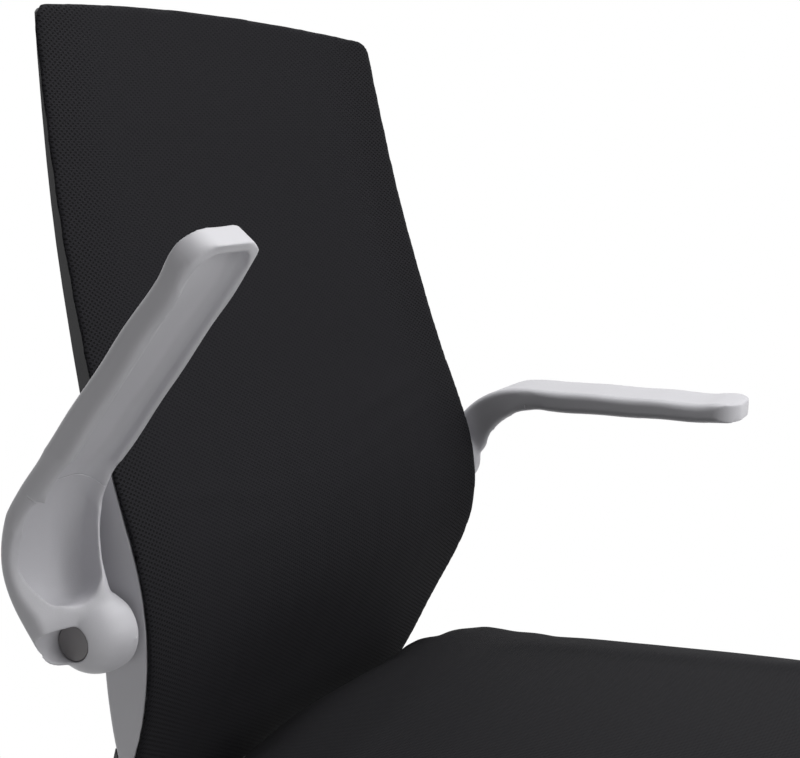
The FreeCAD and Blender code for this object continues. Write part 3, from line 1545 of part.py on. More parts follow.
def arms():
    """Left arm at rest; right arm mirrored and flipped up about its pivot."""
    pieces = (("arm", arm_shell()), ("arm_panel", arm_panel()), ("hub_cap", hub_cap()))
    axis_spot = Vector(0, float(arm_y), float(arm_z))
    for name, shape in pieces:
        formed(f"{name}_left", shape)
        other = mirrored(shape)
        other.rotate(axis_spot, Vector(-1, 0, 0), float(s.raised_angle))
        formed(f"{name}_right", other)


def arm_pivots():
    """Pivot bolts in the ears, and the washers between the ears and the hubs."""
    seat_x = cap_face() + float(s.loose_gap)
    ear_face = float(s.waist_half - s.ear_inset)
    start = ear_face - float(s.ear_thick)
    ring_start = ear_face + float(s.loose_gap)
    width = float(arm_inner) - float(s.loose_gap) - ring_start
    bolts = []
    washers = []
    for side in (1.0, -1.0):
        out = Vector(side, 0, 0)

        def bar(radius, length, x):
            return Part.makeCylinder(radius, length, Vector(side * x, float(arm_y), float(arm_z)), out)

        shank = bar(float(s.pin_radius), seat_x - start, start)
        bolts.append(shank.fuse(bar(float(s.cap_radius - s.cap_thick / 3.0), float(s.pivot_head), seat_x)))
        disc = bar(float(s.washer_radius), width, ring_start)
        washers.append(disc.cut(bar(float(s.pin_radius + s.press_fit), width, ring_start)))
    formed("arm_pivots", Part.makeCompound(bolts))
    formed("pivot_washers", Part.makeCompound(washers))


def build():
    star_base()
    caster_stems()
    for index in range(LEGS):
        caster_hood(index)
        caster_axle(index)
        caster_wheel(index, "a")
        caster_wheel(index, "b")
    gas_lift()
    column_covers()
    mechanism_housing()
    tilt_pin()
    tension_set()
    lever_set()
    seat_plate()
    seat()
    screws("seat_screws", plate_screws(), plate_z)
    screws("spine_screws", spine_screws(), deck_z - s.spine_thick - s.loose_gap)
    back()
    rear_frame()
    back_screws()
    arms()
    arm_pivots()


def check_and_write():
    doc.recompute()
    for item in doc.Objects:
        if "Invalid" in item.State or "Error" in item.State:
            raise RuntimeError(f"{item.Label} failed: {item.State}")
    for item in subparts:
        if item.Shape.isNull() or not item.Shape.isValid():
            raise RuntimeError(f"{item.Label} has no valid shape")
    os.makedirs("parts", exist_ok=True)
    for item in subparts:
        item.Shape.exportStep(os.path.join("parts", item.Label + ".step"))
    print(f"{len(subparts)} sub-parts written")


build()
check_and_write()
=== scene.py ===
import json
import math

import bpy
from bpy.props import FloatProperty, FloatVectorProperty, IntProperty, PointerProperty
from mathutils import Matrix, Vector


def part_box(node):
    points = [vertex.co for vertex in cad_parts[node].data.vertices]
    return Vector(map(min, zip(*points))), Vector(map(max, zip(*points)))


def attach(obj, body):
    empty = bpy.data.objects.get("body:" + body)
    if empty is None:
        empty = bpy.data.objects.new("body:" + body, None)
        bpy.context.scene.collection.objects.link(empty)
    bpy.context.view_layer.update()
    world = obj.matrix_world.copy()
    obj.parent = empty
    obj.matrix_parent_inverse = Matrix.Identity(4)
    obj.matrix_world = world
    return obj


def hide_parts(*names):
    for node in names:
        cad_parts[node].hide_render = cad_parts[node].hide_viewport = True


bl_info = {
    "name": "Mesh Office Chair",
    "version": (1, 0, 0),
    "blender": (4, 5, 0),
    "location": "3D View > Sidebar > Chair",
    "description": "Dresses the chair's frame with its seat, mesh back, finishes and studio",
    "category": "Add Mesh",
}

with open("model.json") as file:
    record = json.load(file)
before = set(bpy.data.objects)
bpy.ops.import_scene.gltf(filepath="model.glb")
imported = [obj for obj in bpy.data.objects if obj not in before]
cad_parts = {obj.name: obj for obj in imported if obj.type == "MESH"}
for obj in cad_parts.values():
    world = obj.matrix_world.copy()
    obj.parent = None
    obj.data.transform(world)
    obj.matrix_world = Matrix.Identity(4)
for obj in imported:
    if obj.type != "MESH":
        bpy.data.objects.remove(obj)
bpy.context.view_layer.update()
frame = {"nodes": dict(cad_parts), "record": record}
NODES = frame["nodes"]
SLOT_OF = {item["node"]: item["material_slot"] for item in frame["record"]["subparts"]}
EDGE = "from_edge"
SEAM = "from_seam"
TROUGH = "in_trough"
# Arms: the way out and the angle at rest.
ARMS = {"left": (1.0, 0.0), "right": (-1.0, math.radians(51.0))}
# Place of the arms' pivot line.
PIVOT = Vector((0.0, 0.194, 0.585))
# Softened places of an arm, from the pivot of the left one when it is level: place, radius and share.
SOFT_SPOTS = (
    ((0.306, -0.078, 0.052), 0.030, 1.0), ((0.252, -0.075, 0.052), 0.018, 0.6),
    ((0.256, -0.033, 0.013), 0.020, 0.3), ((0.268, -0.026, 0.010), 0.016, 0.3),
    ((0.280, -0.024, 0.004), 0.014, 0.3), ((0.285, 0.016, -0.010), 0.013, 0.3),
    ((0.280, -0.258, 0.050), 0.026, 0.25), ((0.300, -0.246, 0.050), 0.018, 0.25),
)
# Radii round the pivot within which the hub's bore stays sharp, and beyond which all is softened.
BORE_KEPT = (0.0135, 0.018)
# The trough of a level arm: how far its surface looks down, and the height above the pivot where it starts.
TROUGH_LOOK, TROUGH_LOW = -0.1, 0.05
# Wrinkles of the back: middle in x and z, slope, half length, half width and share of the depth.
WRINKLES = (
    (0.130, 0.664, 0.16, 0.070, 0.0070, 1.0), (0.115, 0.637, 0.20, 0.062, 0.0065, 0.8),
    (0.060, 0.612, 0.18, 0.055, 0.0075, 0.6), (-0.125, 0.640, -0.18, 0.060, 0.0075, 0.5),
    (-0.100, 0.606, -0.15, 0.050, 0.0070, 0.4),
)
# Lamps: place, target and edge of the square.
LAMPS = {
    "overhead": ((0.45, -0.45, 2.3), (0.0, 0.05, 0.6), 1.9),
    "front": ((0.5, -2.3, 1.2), (0.0, 0.1, 0.6), 1.6),
}
WHITE = (1.0, 1.0, 1.0)
TURN = 2.0 * math.pi
MERGE = 1e-5
CLOTH_QUALITY = 5


# Sizes and colours

class SeatSizes(bpy.types.PropertyGroup):
    """Sizes of the upholstered seat."""
    grid: FloatProperty(
        name="Grid", description="Edge of the squares of the cover's mesh",
        default=0.0053, min=0.003, max=0.01, unit="LENGTH")
    draw_in: FloatProperty(
        name="Draw in", description="How much smaller the foam starts before its cover swells",
        default=0.0035, unit="LENGTH")
    pressure: FloatProperty(
        name="Pressure", description="Push of the foam against the cover", default=4.0)
    swell: FloatProperty(
        name="Swell", description="Furthest that a point of the cover may move",
        default=0.0055, unit="LENGTH")
    tuck: FloatProperty(
        name="Tuck", description="Height of the strip that stays tucked into the pan",
        default=0.018, unit="LENGTH")
    frames: IntProperty(name="Frames", description="Steps of the simulation", default=20)
    settle: IntProperty(name="Settle", description="Passes that ease the ripples of the cover", default=10)


class BackSizes(bpy.types.PropertyGroup):
    """Sizes of the mesh panel of the back."""
    grid: FloatProperty(
        name="Grid", description="Edge of the squares of the panel's mesh",
        default=0.003, min=0.002, max=0.006, unit="LENGTH")
    wrinkle: FloatProperty(
        name="Wrinkle", description="Depth of the soft wrinkles at the lumbar bend",
        default=0.0011, unit="LENGTH")
    ease: IntProperty(name="Ease", description="Smoothing passes of the panel", default=4)
    row: FloatProperty(
        name="Row", description="Height of the strips in which the panel's edge is looked for",
        default=0.006, unit="LENGTH")


class ArmSizes(bpy.types.PropertyGroup):
    """Sizes of the arm mouldings."""
    grid: FloatProperty(
        name="Grid", description="Edge of the squares of an arm's mesh",
        default=0.0012, min=0.001, max=0.003, unit="LENGTH")
    overlap: FloatProperty(
        name="Overlap", description="How far the lining reaches into its bed", default=0.0004, unit="LENGTH")
    polish: IntProperty(name="Polish", description="Smoothing passes all over", default=5)
    soften: IntProperty(
        name="Soften", description="Smoothing passes at the hub, the tip and the lining's ends", default=160)
    seam: FloatProperty(
        name="Seam", description="Place of the lining's seam in front of the pivot",
        default=0.07315, unit="LENGTH")


class Finishes(bpy.types.PropertyGroup):
    """Colours of the chair's materials."""
    grey: FloatVectorProperty(
        name="Grey plastic", description="Arms, rear frame and base", subtype="COLOR",
        default=(0.585, 0.58, 0.61))
    cap: FloatVectorProperty(
        name="Hub cap", description="Sunk caps in the arm hubs", subtype="COLOR", default=(0.21, 0.2, 0.205))
    mesh: FloatVectorProperty(
        name="Mesh", description="Yarn of the back's spacer mesh", subtype="COLOR",
        default=(0.0088, 0.0085, 0.0106))
    weave: FloatVectorProperty(
        name="Seat weave", description="Yarn of the seat's cover", subtype="COLOR",
        default=(0.0112, 0.0109, 0.013))
    black: FloatVectorProperty(
        name="Black plastic", description="Pan, covers, hoods and knob", subtype="COLOR",
        default=(0.022, 0.022, 0.024))


class StudioSizes(bpy.types.PropertyGroup):
    """Camera and lamps of the studio."""
    camera_spot: FloatVectorProperty(
        name="Camera", description="Where the camera stands", subtype="XYZ", unit="LENGTH",
        default=(-0.8964, -0.3286, 0.8791))
    camera_turn: FloatVectorProperty(
        name="Camera turn", description="How the camera is turned", subtype="EULER",
        default=(math.radians(80.1), 0.0, math.radians(-63.4)))
    lens: FloatProperty(name="Lens", description="Focal length in millimetres", default=63.4)
    overhead: FloatProperty(
        name="Overhead", description="Power of the overhead lamp", default=36.0, unit="POWER")
    front: FloatProperty(name="Front", description="Power of the front lamp", default=20.0, unit="POWER")
    floor: FloatProperty(name="Floor", description="Edge of the floor", default=14.0, unit="LENGTH")
    shadow: FloatVectorProperty(
        name="Shadow", description="Radii at which the floor's shadow starts to fade and is gone",
        size=2, default=(0.35, 1.0))
    glow: FloatProperty(name="Glow", description="Share of white in the floor under the chair", default=0.55)
    surround: FloatProperty(name="Surround", description="Strength of the light all round", default=0.15)


# Shader maths

class Signal:
    """A shader socket that takes part in Python expressions."""

    def __init__(self, finish, socket):
        self.finish = finish
        self.socket = socket

    def maths(self, operation, *others):
        values = dict(enumerate((self, *others)))
        return self.finish.node("ShaderNodeMath", {"operation": operation}, values)

    def __add__(self, other):
        return self.maths("ADD", other)

    __radd__ = __add__

    def __mul__(self, other):
        return self.maths("MULTIPLY", other)

    __rmul__ = __mul__

    def __sub__(self, other):
        return self.maths("SUBTRACT", other)

    def __rsub__(self, other):
        return self * -1.0 + other

    def __truediv__(self, other):
        return self.maths("DIVIDE", other)

    def __pow__(self, other):
        return self.maths("POWER", other)

    def __gt__(self, other):
        return self.maths("GREATER_THAN", other)

    def __abs__(self):
        return self.maths("ABSOLUTE")

    def cos(self):
        return self.maths("COSINE")

    def ramp(self, low, high):
        """Smooth rise from 0 to 1 between two values."""
        settings = {"interpolation_type": "SMOOTHSTEP"}
        values = {"Value": self, "From Min": low, "From Max": high}
        return self.finish.node("ShaderNodeMapRange", settings, values)


class NodeTree:
    """A node tree that takes values and links."""

    def __init__(self, tree):
        self.tree = tree

    def feed(self, socket, value):
        if isinstance(value, Signal):
            self.tree.links.new(value.socket, socket)
        elif socket.type == "RGBA":
            socket.default_value = (*value[:3], 1.0)
        else:
            socket.default_value = value

    def node(self, kind, settings=None, values=None, output=0):
        """A node of a kind, with its settings and the values or links of its sockets."""
        made = self.tree.nodes.new(kind)
        for key, setting in (settings or {}).items():
            setattr(made, key, setting)
        for key, value in (values or {}).items():
            self.feed(made.inputs[key], value)
        return Signal(self, made.outputs[output])

    def seen(self):
        """1 for rays of the camera and of mirror-like and clear surfaces."""
        rays = self.node("ShaderNodeLightPath").socket.node.outputs
        camera, glossy, through = (
            Signal(self, rays[name]) for name in ("Is Camera Ray", "Is Glossy Ray", "Is Transmission Ray"))
        return camera.maths("MAXIMUM", glossy).maths("MAXIMUM", through)

    def show(self, end, share, first, second):
        """Send a mix of two shaders to the tree's end."""
        mixed = self.node("ShaderNodeMixShader", values={0: share, 1: first, 2: second})
        self.feed(self.tree.nodes[end].inputs["Surface"], mixed)


class Finish(NodeTree):
    """A material that is put together from nodes."""

    def __init__(self, name, roughness=0.5, metallic=0.0, gloss=0.5):
        self.material = bpy.data.materials.new(name)
        self.material.use_nodes = True
        super().__init__(self.material.node_tree)
        self.surface = self.tree.nodes["Principled BSDF"]
        self.surface.inputs["Roughness"].default_value = roughness
        self.surface.inputs["Metallic"].default_value = metallic
        self.surface.inputs["Specular IOR Level"].default_value = gloss
        self.coordinates = None

    def object_place(self):
        """Object coordinates, from one node."""
        if self.coordinates is None:
            self.coordinates = self.node("ShaderNodeTexCoord", output="Object")
        return self.coordinates

    def axes(self, vector):
        """The three numbers of a vector."""
        outputs = self.node("ShaderNodeSeparateXYZ", values={0: vector}).socket.node.outputs
        return [Signal(self, socket) for socket in outputs]

    def attribute(self, name):
        """A number that the piece's mesh carries at its points."""
        return self.node("ShaderNodeAttribute", {"attribute_name": name}, output="Fac")

    def facing(self):
        """The surface's own normal, as three numbers without sign."""
        normal = self.node("ShaderNodeTexCoord", output="Normal")
        return [abs(part) for part in self.axes(normal)]

    def stretched(self, scale):
        """Object coordinates with each axis scaled."""
        values = {"Vector": self.object_place(), "Scale": scale}
        return self.node("ShaderNodeMapping", values=values)

    def noise(self, size, detail=2.0, scale=None):
        """Noise with patches of about a size in metres."""
        place = self.stretched(scale) if scale else self.object_place()
        values = {"Vector": place, "Scale": 1.0 / size, "Detail": detail}
        return self.node("ShaderNodeTexNoise", values=values)

    def cells(self, size):
        """Rounded cells of about a size in metres."""
        values = {"Vector": self.object_place(), "Scale": 1.0 / size}
        return self.node("ShaderNodeTexVoronoi", values=values)

    def blend(self, share, first, second):
        """A colour between two."""
        values = {0: share, 6: first, 7: second}
        return self.node("ShaderNodeMix", {"data_type": "RGBA"}, values, output=2)

    def colour(self, value):
        self.feed(self.surface.inputs["Base Color"], value)

    def rough(self, value):
        self.feed(self.surface.inputs["Roughness"], value)

    def relief(self, height, depth, strength=1.0):
        """Bump from a height of 0 to 1, with its depth in metres."""
        values = {"Height": height, "Distance": depth, "Strength": strength}
        bump = self.node("ShaderNodeBump", values=values)
        self.feed(self.surface.inputs["Normal"], bump)


def tint(colour, factor):
    """A lighter or darker colour."""
    return tuple(min(part * factor, 1.0) for part in colour)


def plastic_base(name, colour, roughness, grain):
    """Plastic with a cloudy tone and small rubbed patches: the material, its fine grain and its colour."""
    finish = Finish(name, roughness)
    cloud = finish.noise(0.09, 3.0)
    fine = finish.noise(grain, 1.0)
    rubbed = finish.noise(0.012, 4.0).ramp(0.62, 0.8)
    finish.rough(cloud * 0.08 + fine * 0.06 - rubbed * 0.1 + (roughness - 0.05))
    return finish, fine, finish.blend(cloud, tint(colour, 0.95), tint(colour, 1.04))


def moulded(name, colour, roughness, grain, depth):
    """Moulded plastic with a fine spark-eroded grain."""
    finish, fine, body = plastic_base(name, colour, roughness, grain)
    finish.colour(body)
    finish.relief(fine, depth)
    return finish.material


def arm_plastic(name, colour):
    """The arms' grey moulding, with a shallow groove at the lining's seam and a painted highlight along it.
    """
    finish, fine, body = plastic_base(name, colour, 0.4, 0.0007)
    seam_groove_and_highlight = (1.0 - finish.attribute(SEAM).ramp(0.00025, 0.0008)) * finish.attribute(TROUGH)
    # Painted highlight: the seam's groove in the trough is lightened, standing in for light caught by its
    # edge.
    finish.colour(finish.blend(seam_groove_and_highlight * 0.7, body, tint(colour, 1.35)))
    finish.relief(fine * 0.12 - seam_groove_and_highlight, 0.0004)
    return finish.material


def grained(name, colour, roughness):
    """Black plastic with a leather-like mould grain."""
    finish = Finish(name, roughness)
    grain = finish.cells(0.0011)
    cloud = finish.noise(0.06, 3.0)
    dust = finish.noise(0.02, 5.0).ramp(0.55, 0.75)
    finish.colour(finish.blend(dust * 0.35, tint(colour, 0.9), tint(colour, 1.8)))
    finish.rough(cloud * 0.15 + dust * 0.1 + (roughness - 0.1))
    finish.relief(grain, 0.00012)
    return finish.material


def powder_coat(name, colour):
    """Powder coated steel with a slight orange peel."""
    finish = Finish(name, 0.45)
    peel = finish.noise(0.0022, 1.0)
    cloud = finish.noise(0.05, 2.0)
    finish.colour(finish.blend(cloud, tint(colour, 0.85), tint(colour, 1.2)))
    finish.rough(cloud * 0.12 + 0.38)
    finish.relief(peel, 0.00015)
    return finish.material


def bare_metal(name, colour, roughness, streak):
    """Plated metal with fine streaks along one way."""
    finish = Finish(name, roughness, metallic=1.0)
    lines = finish.noise(0.004, 3.0, streak)
    cloud = finish.noise(0.03, 2.0)
    finish.colour(finish.blend(cloud, tint(colour, 0.88), colour))
    finish.rough(lines * 0.12 + cloud * 0.06 + (roughness - 0.08))
    finish.relief(lines, 0.00003)
    return finish.material


def rolled_nylon(name, colour):
    """Hard wheel nylon with scuffs where it has rolled."""
    finish = Finish(name, 0.42)
    scuff = finish.noise(0.006, 6.0).ramp(0.52, 0.7)
    cloud = finish.noise(0.02, 2.0)
    finish.colour(finish.blend(scuff * 0.5, colour, tint(colour, 2.4)))
    finish.rough(scuff * 0.25 + cloud * 0.08 + 0.34)
    finish.relief(scuff, 0.00006)
    return finish.material


def waves(length, pitch):
    """A wave along a length, one for each pitch in metres."""
    return (length * (TURN / pitch)).cos()


def plywood(name):
    """Bare plywood: thin plies over the thickness and grain along the sheet."""
    finish = Finish(name, 0.62)
    _, _, z = finish.axes(finish.object_place())
    grain = finish.noise(0.03, 6.0, (18.0, 1.0, 1.0))
    ply = waves(z, 0.003).ramp(-0.3, 0.3)
    tone = finish.blend(grain, (0.5, 0.34, 0.19), (0.68, 0.5, 0.32))
    finish.colour(finish.blend(ply * 0.35, tone, (0.36, 0.23, 0.13)))
    finish.rough(grain * 0.1 + 0.55)
    finish.relief(grain, 0.0002)
    return finish.material


def cloth_axes(finish):
    """Two running lengths over a piece: across and along, whichever way its surface faces."""
    x, y, z = finish.axes(finish.object_place())
    sideways, _, upwards = finish.facing()
    top = upwards > 0.75
    side = sideways > 0.75
    across = x * (1.0 - side) + y * side
    along = z * (1.0 - top) + y * top
    return across, along


def spacer_mesh(name, colour):
    """Spacer mesh: staggered small holes between knitted ribs, darker where it rolls round its edge."""
    finish = Finish(name, 0.85, gloss=0.13)
    across, along = cloth_axes(finish)
    hole = (waves(across, 0.0058) * waves(along, 0.0032)).ramp(0.05, 0.6)
    strand = waves(along, 0.0011) * 0.5 + 0.5
    edge = 1.0 - finish.attribute(EDGE).ramp(0.004, 0.075)
    lie = finish.noise(0.02, 3.0, (7.0, 1.0, 1.0))
    yarn = finish.blend(lie, tint(colour, 0.86), tint(colour, 1.14))
    finish.colour(finish.blend(hole * (edge * 0.7 + 0.2), yarn, tint(colour, 0.1)))
    finish.rough(hole * 0.1 + lie * 0.06 + 0.8)
    finish.relief((1.0 - hole) * (edge * 0.6 + 0.25) + strand * 0.12, 0.0006)
    return finish.material


def fine_weave(name, colour):
    """Seat cover: fine crossing yarns with small slubs."""
    finish = Finish(name, 0.88, gloss=0.15)
    across, along = cloth_axes(finish)
    warp, weft = (waves(length, 0.0024) * 0.5 + 0.5 for length in (across, along))
    slub = finish.noise(0.004, 3.0)
    lie = finish.noise(0.07, 3.0)
    yarn = finish.blend(lie, tint(colour, 0.9), tint(colour, 1.1))
    finish.colour(finish.blend(warp * weft * 0.7 + slub * 0.3, tint(colour, 0.62), yarn))
    finish.rough(slub * 0.12 + 0.8)
    finish.relief(warp * 0.4 + weft * 0.4 + slub * 0.2, 0.0004)
    return finish.material


# Modelling helpers

def pick(piece):
    """Leave one object selected and active."""
    if bpy.context.mode != "OBJECT":
        bpy.ops.object.mode_set(mode="OBJECT")
    bpy.ops.object.select_all(action="DESELECT")
    piece.select_set(True)
    bpy.context.view_layer.objects.active = piece


def merged_copy(node, name):
    """A copy of a CAD node with its loose triangles joined."""
    piece = NODES[node].copy()
    piece.data = NODES[node].data.copy()
    piece.name = piece.data.name = name
    piece.parent = None
    bpy.context.scene.collection.objects.link(piece)
    piece.data.materials.clear()
    for key in list(piece.keys()):
        del piece[key]
    pick(piece)
    bpy.ops.object.mode_set(mode="EDIT")
    bpy.ops.mesh.select_all(action="SELECT")
    bpy.ops.mesh.remove_doubles(threshold=MERGE)
    bpy.ops.object.mode_set(mode="OBJECT")
    if piece.data.has_custom_normals:
        bpy.ops.mesh.customdata_custom_splitnormals_clear()
    return piece


def remeshed(piece, grid):
    """Give a piece an even mesh of small squares."""
    piece.data.remesh_voxel_size = grid
    pick(piece)
    bpy.ops.object.voxel_remesh()
    bpy.ops.object.shade_smooth()


def shrink(piece, distance):
    """Move every point of a piece inwards, or outwards by less than nothing."""
    pick(piece)
    bpy.ops.object.mode_set(mode="EDIT")
    bpy.ops.mesh.select_all(action="SELECT")
    bpy.ops.transform.shrink_fatten(value=-distance)
    bpy.ops.object.mode_set(mode="OBJECT")


def apply_all(piece):
    """Apply a piece's modifiers in their order."""
    pick(piece)
    for modifier in list(piece.modifiers):
        bpy.ops.object.modifier_apply(modifier=modifier.name)


def smoothed(piece, passes, group=""):
    """Smooth a piece, or the part of it that a vertex group weighs."""
    smooth = piece.modifiers.new("Smooth", "SMOOTH")
    smooth.vertex_group = group
    smooth.factor = 0.5
    smooth.iterations = passes
    apply_all(piece)


def clamped(value):
    return min(max(value, 0.0), 1.0)


def corners_of(piece):
    return [vertex.co.copy() for vertex in piece.data.vertices]


def swell(piece, held, pressure, frames, limit):
    """Let a cover swell under its foam, with the held points pinned and every move capped."""
    pins = piece.vertex_groups.new(name="pins")
    pins.add(held, 1.0, "REPLACE")
    cloth = piece.modifiers.new("Swell", "CLOTH")
    cloth.settings.vertex_group_mass = pins.name
    cloth.settings.use_pressure = True
    cloth.settings.uniform_pressure_force = pressure
    cloth.settings.effector_weights.gravity = 0.0
    cloth.settings.quality = CLOTH_QUALITY
    cloth.point_cache.frame_end = frames
    start = corners_of(piece)
    scene = bpy.context.scene
    for step in range(1, frames + 1):
        scene.frame_set(step)
    shaped = piece.evaluated_get(bpy.context.evaluated_depsgraph_get())
    moved = corners_of(shaped)
    piece.modifiers.remove(cloth)
    scene.frame_set(1)
    for vertex, before, after in zip(piece.data.vertices, start, moved):
        step = after - before
        if step.length > limit:
            step.length = limit
        vertex.co = before + step
    piece.vertex_groups.clear()


def mark_edge(piece, row):
    """Store at each point how far it lies inside the side edges of the piece."""
    half = {}
    for vertex in piece.data.vertices:
        strip = round(vertex.co.z / row)
        half[strip] = max(half.get(strip, 0.0), abs(vertex.co.x))
    inside = piece.data.attributes.new(EDGE, "FLOAT", "POINT")
    for vertex in piece.data.vertices:
        inside.data[vertex.index].value = half[round(vertex.co.z / row)] - abs(vertex.co.x)


def levelled(point, side):
    """Place of an arm's point from the pivot, with the arm turned level and on the left."""
    out, angle = ARMS[side]
    place = Matrix.Rotation(angle, 3, "X") @ (point - PIVOT)
    place.x *= out
    return place


def mark_trough(piece, side, seam):
    """Store at each point its distance from the lining's seam, and whether it lies in the trough."""
    distance = piece.data.attributes.new(SEAM, "FLOAT", "POINT")
    inside = piece.data.attributes.new(TROUGH, "FLOAT", "POINT")
    turn = Matrix.Rotation(ARMS[side][1], 3, "X")
    for vertex in piece.data.vertices:
        place = levelled(vertex.co, side)
        distance.data[vertex.index].value = abs(place.y + seam)
        inside.data[vertex.index].value = float(
            (turn @ vertex.normal).z < TROUGH_LOOK and place.z > TROUGH_LOW)


def soften(piece, side, passes):
    """Smooth the places of an arm where its forms run into each other."""
    group = piece.vertex_groups.new(name="soft")
    near, far = BORE_KEPT
    for vertex in piece.data.vertices:
        place = levelled(vertex.co, side)
        weight = 0.0
        for spot, radius, share in SOFT_SPOTS:
            inside = 1.0 - ((place - Vector(spot)).length / radius) ** 2
            weight = max(weight, min(inside * 2.0, 1.0) * share)
        weight *= clamped((math.hypot(place.y, place.z) - near) / (far - near))
        if weight > 0.0:
            group.add([vertex.index], weight, "REPLACE")
    smoothed(piece, passes, group.name)
    piece.vertex_groups.clear()


def crease(piece, depth):
    """Raise soft wrinkles in the front of the back."""
    front = [vertex for vertex in piece.data.vertices if vertex.normal.y < -0.5]
    for vertex in front:
        for x, z, slope, reach, width, share in WRINKLES:
            along = (vertex.co.x - x) / reach
            across = (vertex.co.z - z - slope * (vertex.co.x - x)) / width
            vertex.co.y -= depth * share * math.exp(-along * along - across * across)


def wear(piece, material):
    """Give a piece one material."""
    piece.data.materials.clear()
    piece.data.materials.append(material)


# Pieces

class CHAIR_OT_seat(bpy.types.Operator):
    """Upholster the seat: foam that swells under a woven cover"""
    bl_idname = "chair.seat"
    bl_label = "Seat"

    def execute(self, context):
        sizes = context.scene.chair_seat
        cover = merged_copy("seat_cushion", "seat_cover")
        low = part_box("seat_cushion")[0].z
        full = corners_of(cover)
        shrink(cover, sizes.draw_in)
        for vertex, corner in zip(cover.data.vertices, full):
            vertex.co = corner.lerp(vertex.co, clamped((corner.z - low) / sizes.tuck))
        remeshed(cover, sizes.grid)
        held = [vertex.index for vertex in cover.data.vertices if vertex.co.z < low + sizes.tuck]
        swell(cover, held, sizes.pressure, sizes.frames, sizes.swell)
        smoothed(cover, sizes.settle)
        finer = cover.modifiers.new("Finer", "SUBSURF")
        finer.levels = finer.render_levels = 1
        apply_all(cover)
        wear(cover, fine_weave("seat_weave", context.scene.chair_finishes.weave))
        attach(cover, "seat")
        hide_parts("seat_cushion")
        return {"FINISHED"}


class CHAIR_OT_back(bpy.types.Operator):
    """Stretch the spacer mesh over the back"""
    bl_idname = "chair.back"
    bl_label = "Mesh back"

    def execute(self, context):
        sizes = context.scene.chair_back
        panel = merged_copy("back_mesh", "back_panel")
        remeshed(panel, sizes.grid)
        smoothed(panel, sizes.ease)
        crease(panel, sizes.wrinkle)
        mark_edge(panel, sizes.row)
        wear(panel, spacer_mesh("back_spacer_mesh", context.scene.chair_finishes.mesh))
        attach(panel, "seat")
        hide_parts("back_mesh")
        return {"FINISHED"}


class CHAIR_OT_arms(bpy.types.Operator):
    """Mould each arm with its lining, and soften it where its forms meet"""
    bl_idname = "chair.arms"
    bl_label = "Arms"

    def execute(self, context):
        sizes = context.scene.chair_arms
        plastic = arm_plastic("arm_moulding", context.scene.chair_finishes.grey)
        for side in ARMS:
            arm = merged_copy(f"arm_{side}", f"arm_moulding_{side}")
            lining = merged_copy(f"arm_panel_{side}", f"arm_lining_{side}")
            shrink(lining, -sizes.overlap)
            pick(arm)
            lining.select_set(True)
            bpy.ops.object.join()
            remeshed(arm, sizes.grid)
            smoothed(arm, sizes.polish)
            soften(arm, side, sizes.soften)
            mark_trough(arm, side, sizes.seam)
            wear(arm, plastic)
            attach(arm, f"{side}_arm")
            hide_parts(f"arm_{side}", f"arm_panel_{side}")
        return {"FINISHED"}


class CHAIR_OT_finishes(bpy.types.Operator):
    """Give every rigid piece its material"""
    bl_idname = "chair.finishes"
    bl_label = "Finishes"

    def execute(self, context):
        colours = context.scene.chair_finishes
        table = {
            "grey_plastic": moulded("grey_moulding", colours.grey, 0.4, 0.0007, 0.00005),
            # The lining's grey is the moulding's grey made a little darker: painted shade for the lining in
            # the trough under the arm.
            "panel_plastic": moulded("grey_lining_painted_shade", tint(colours.grey, 0.95), 0.42, 0.0007, 0.00005),
            "cap_plastic": moulded("grey_cap", colours.cap, 0.4, 0.0006, 0.00004),
            "white_plastic": moulded("natural_acetal", (0.55, 0.54, 0.5), 0.35, 0.0009, 0.00003),
            "charcoal_plastic": grained("charcoal_frame", tint(colours.black, 1.1), 0.55),
            "black_plastic": grained("black_moulding", colours.black, 0.5),
            "wheel_plastic": rolled_nylon("wheel_nylon", tint(colours.black, 1.2)),
            "black_steel": powder_coat("black_powder_coat", tint(colours.black, 0.9)),
            "steel": bare_metal("zinc_steel", (0.55, 0.55, 0.54), 0.34, (1.0, 1.0, 12.0)),
            "chrome": bare_metal("hard_chrome", (0.72, 0.72, 0.72), 0.14, (12.0, 12.0, 1.0)),
            "plywood": plywood("seat_plywood"),
        }
        for node, item in NODES.items():
            material = table.get(SLOT_OF[node])
            if material is not None:
                wear(item, material)
        return {"FINISHED"}


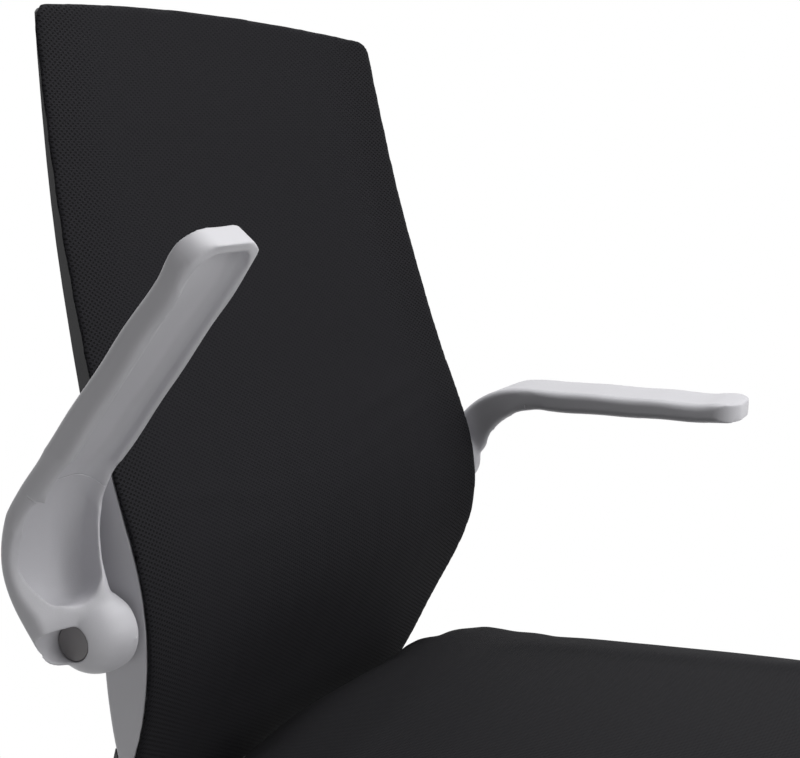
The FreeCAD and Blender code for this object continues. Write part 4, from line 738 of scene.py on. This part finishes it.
class CHAIR_OT_stage(bpy.types.Operator):
    """Set the pale floor, soft lamps and camera"""
    bl_idname = "chair.stage"
    bl_label = "Stage"

    def execute(self, context):
        sizes = context.scene.chair_studio
        bpy.ops.object.select_all(action="DESELECT")
        bpy.ops.mesh.primitive_plane_add(size=sizes.floor)
        floor = context.active_object
        floor.name = "floor"
        wear(floor, self.pale_floor(sizes))
        self.surround(context.scene, sizes.surround)
        self.lamp("overhead", sizes.overhead)
        self.lamp("front", sizes.front)
        view = bpy.data.cameras.new("view")
        view.lens = sizes.lens
        view.sensor_width = 36.0
        view.clip_start = 0.02
        camera = bpy.data.objects.new("view", view)
        camera.location = sizes.camera_spot
        camera.rotation_euler = sizes.camera_turn
        context.scene.collection.objects.link(camera)
        context.scene.camera = camera
        context.scene.view_settings.view_transform = "Standard"
        return {"FINISHED"}

    def lamp(self, name, power):
        """A square soft lamp."""
        spot, target, size = LAMPS[name]
        light = bpy.data.lights.new(name, "AREA")
        light.shape = "SQUARE"
        light.size = size
        light.energy = power
        item = bpy.data.objects.new(name, light)
        item.location = spot
        item.rotation_euler = (Vector(target) - Vector(spot)).to_track_quat("-Z", "Y").to_euler()
        bpy.context.scene.collection.objects.link(item)

    def pale_floor(self, sizes):
        """Floor that keeps the shadow near the chair and turns white away from it."""
        finish = Finish("pale_floor", 0.9)
        finish.colour((0.82, 0.82, 0.82))
        glow = finish.node("ShaderNodeEmission", values={"Color": WHITE, "Strength": 1.0})
        across, along, _ = finish.axes(finish.object_place())
        away = ((across * across + along * along) ** 0.5).ramp(*sizes.shadow)
        share = finish.seen() * (away * (1.0 - sizes.glow) + sizes.glow)
        finish.show("Material Output", share, Signal(finish, finish.surface.outputs[0]), glow)
        return finish.material

    def surround(self, scene, strength):
        """Soft light all round, which the camera sees as white."""
        scene.world = bpy.data.worlds.new("studio")
        scene.world.use_nodes = True
        sky = NodeTree(scene.world.node_tree)
        soft, plain = (
            sky.node("ShaderNodeBackground", values={"Color": WHITE, "Strength": value})
            for value in (strength, 1.0))
        sky.show("World Output", sky.seen(), soft, plain)


class CHAIR_PT_panel(bpy.types.Panel):
    """Lists the steps that dress the chair"""
    bl_idname = "CHAIR_PT_panel"
    bl_label = "Mesh Office Chair"
    bl_space_type = "VIEW_3D"
    bl_region_type = "UI"
    bl_category = "Chair"

    def draw(self, context):
        for step in STEPS:
            self.layout.operator(step.bl_idname)


GROUPS = {
    "chair_seat": SeatSizes, "chair_back": BackSizes, "chair_arms": ArmSizes, "chair_finishes": Finishes,
    "chair_studio": StudioSizes,
}
STEPS = (CHAIR_OT_finishes, CHAIR_OT_seat, CHAIR_OT_back, CHAIR_OT_arms, CHAIR_OT_stage)


def register():
    for item in (*GROUPS.values(), *STEPS, CHAIR_PT_panel):
        bpy.utils.register_class(item)
    for name, group in GROUPS.items():
        setattr(bpy.types.Scene, name, PointerProperty(type=group))


def unregister():
    for name in GROUPS:
        delattr(bpy.types.Scene, name)
    for item in (CHAIR_PT_panel, *STEPS, *GROUPS.values()):
        bpy.utils.unregister_class(item)


def main():
    register()
    bpy.ops.chair.finishes()
    bpy.ops.chair.seat()
    bpy.ops.chair.back()
    bpy.ops.chair.arms()
    bpy.ops.chair.stage()


if __name__ == "__main__":
    main()
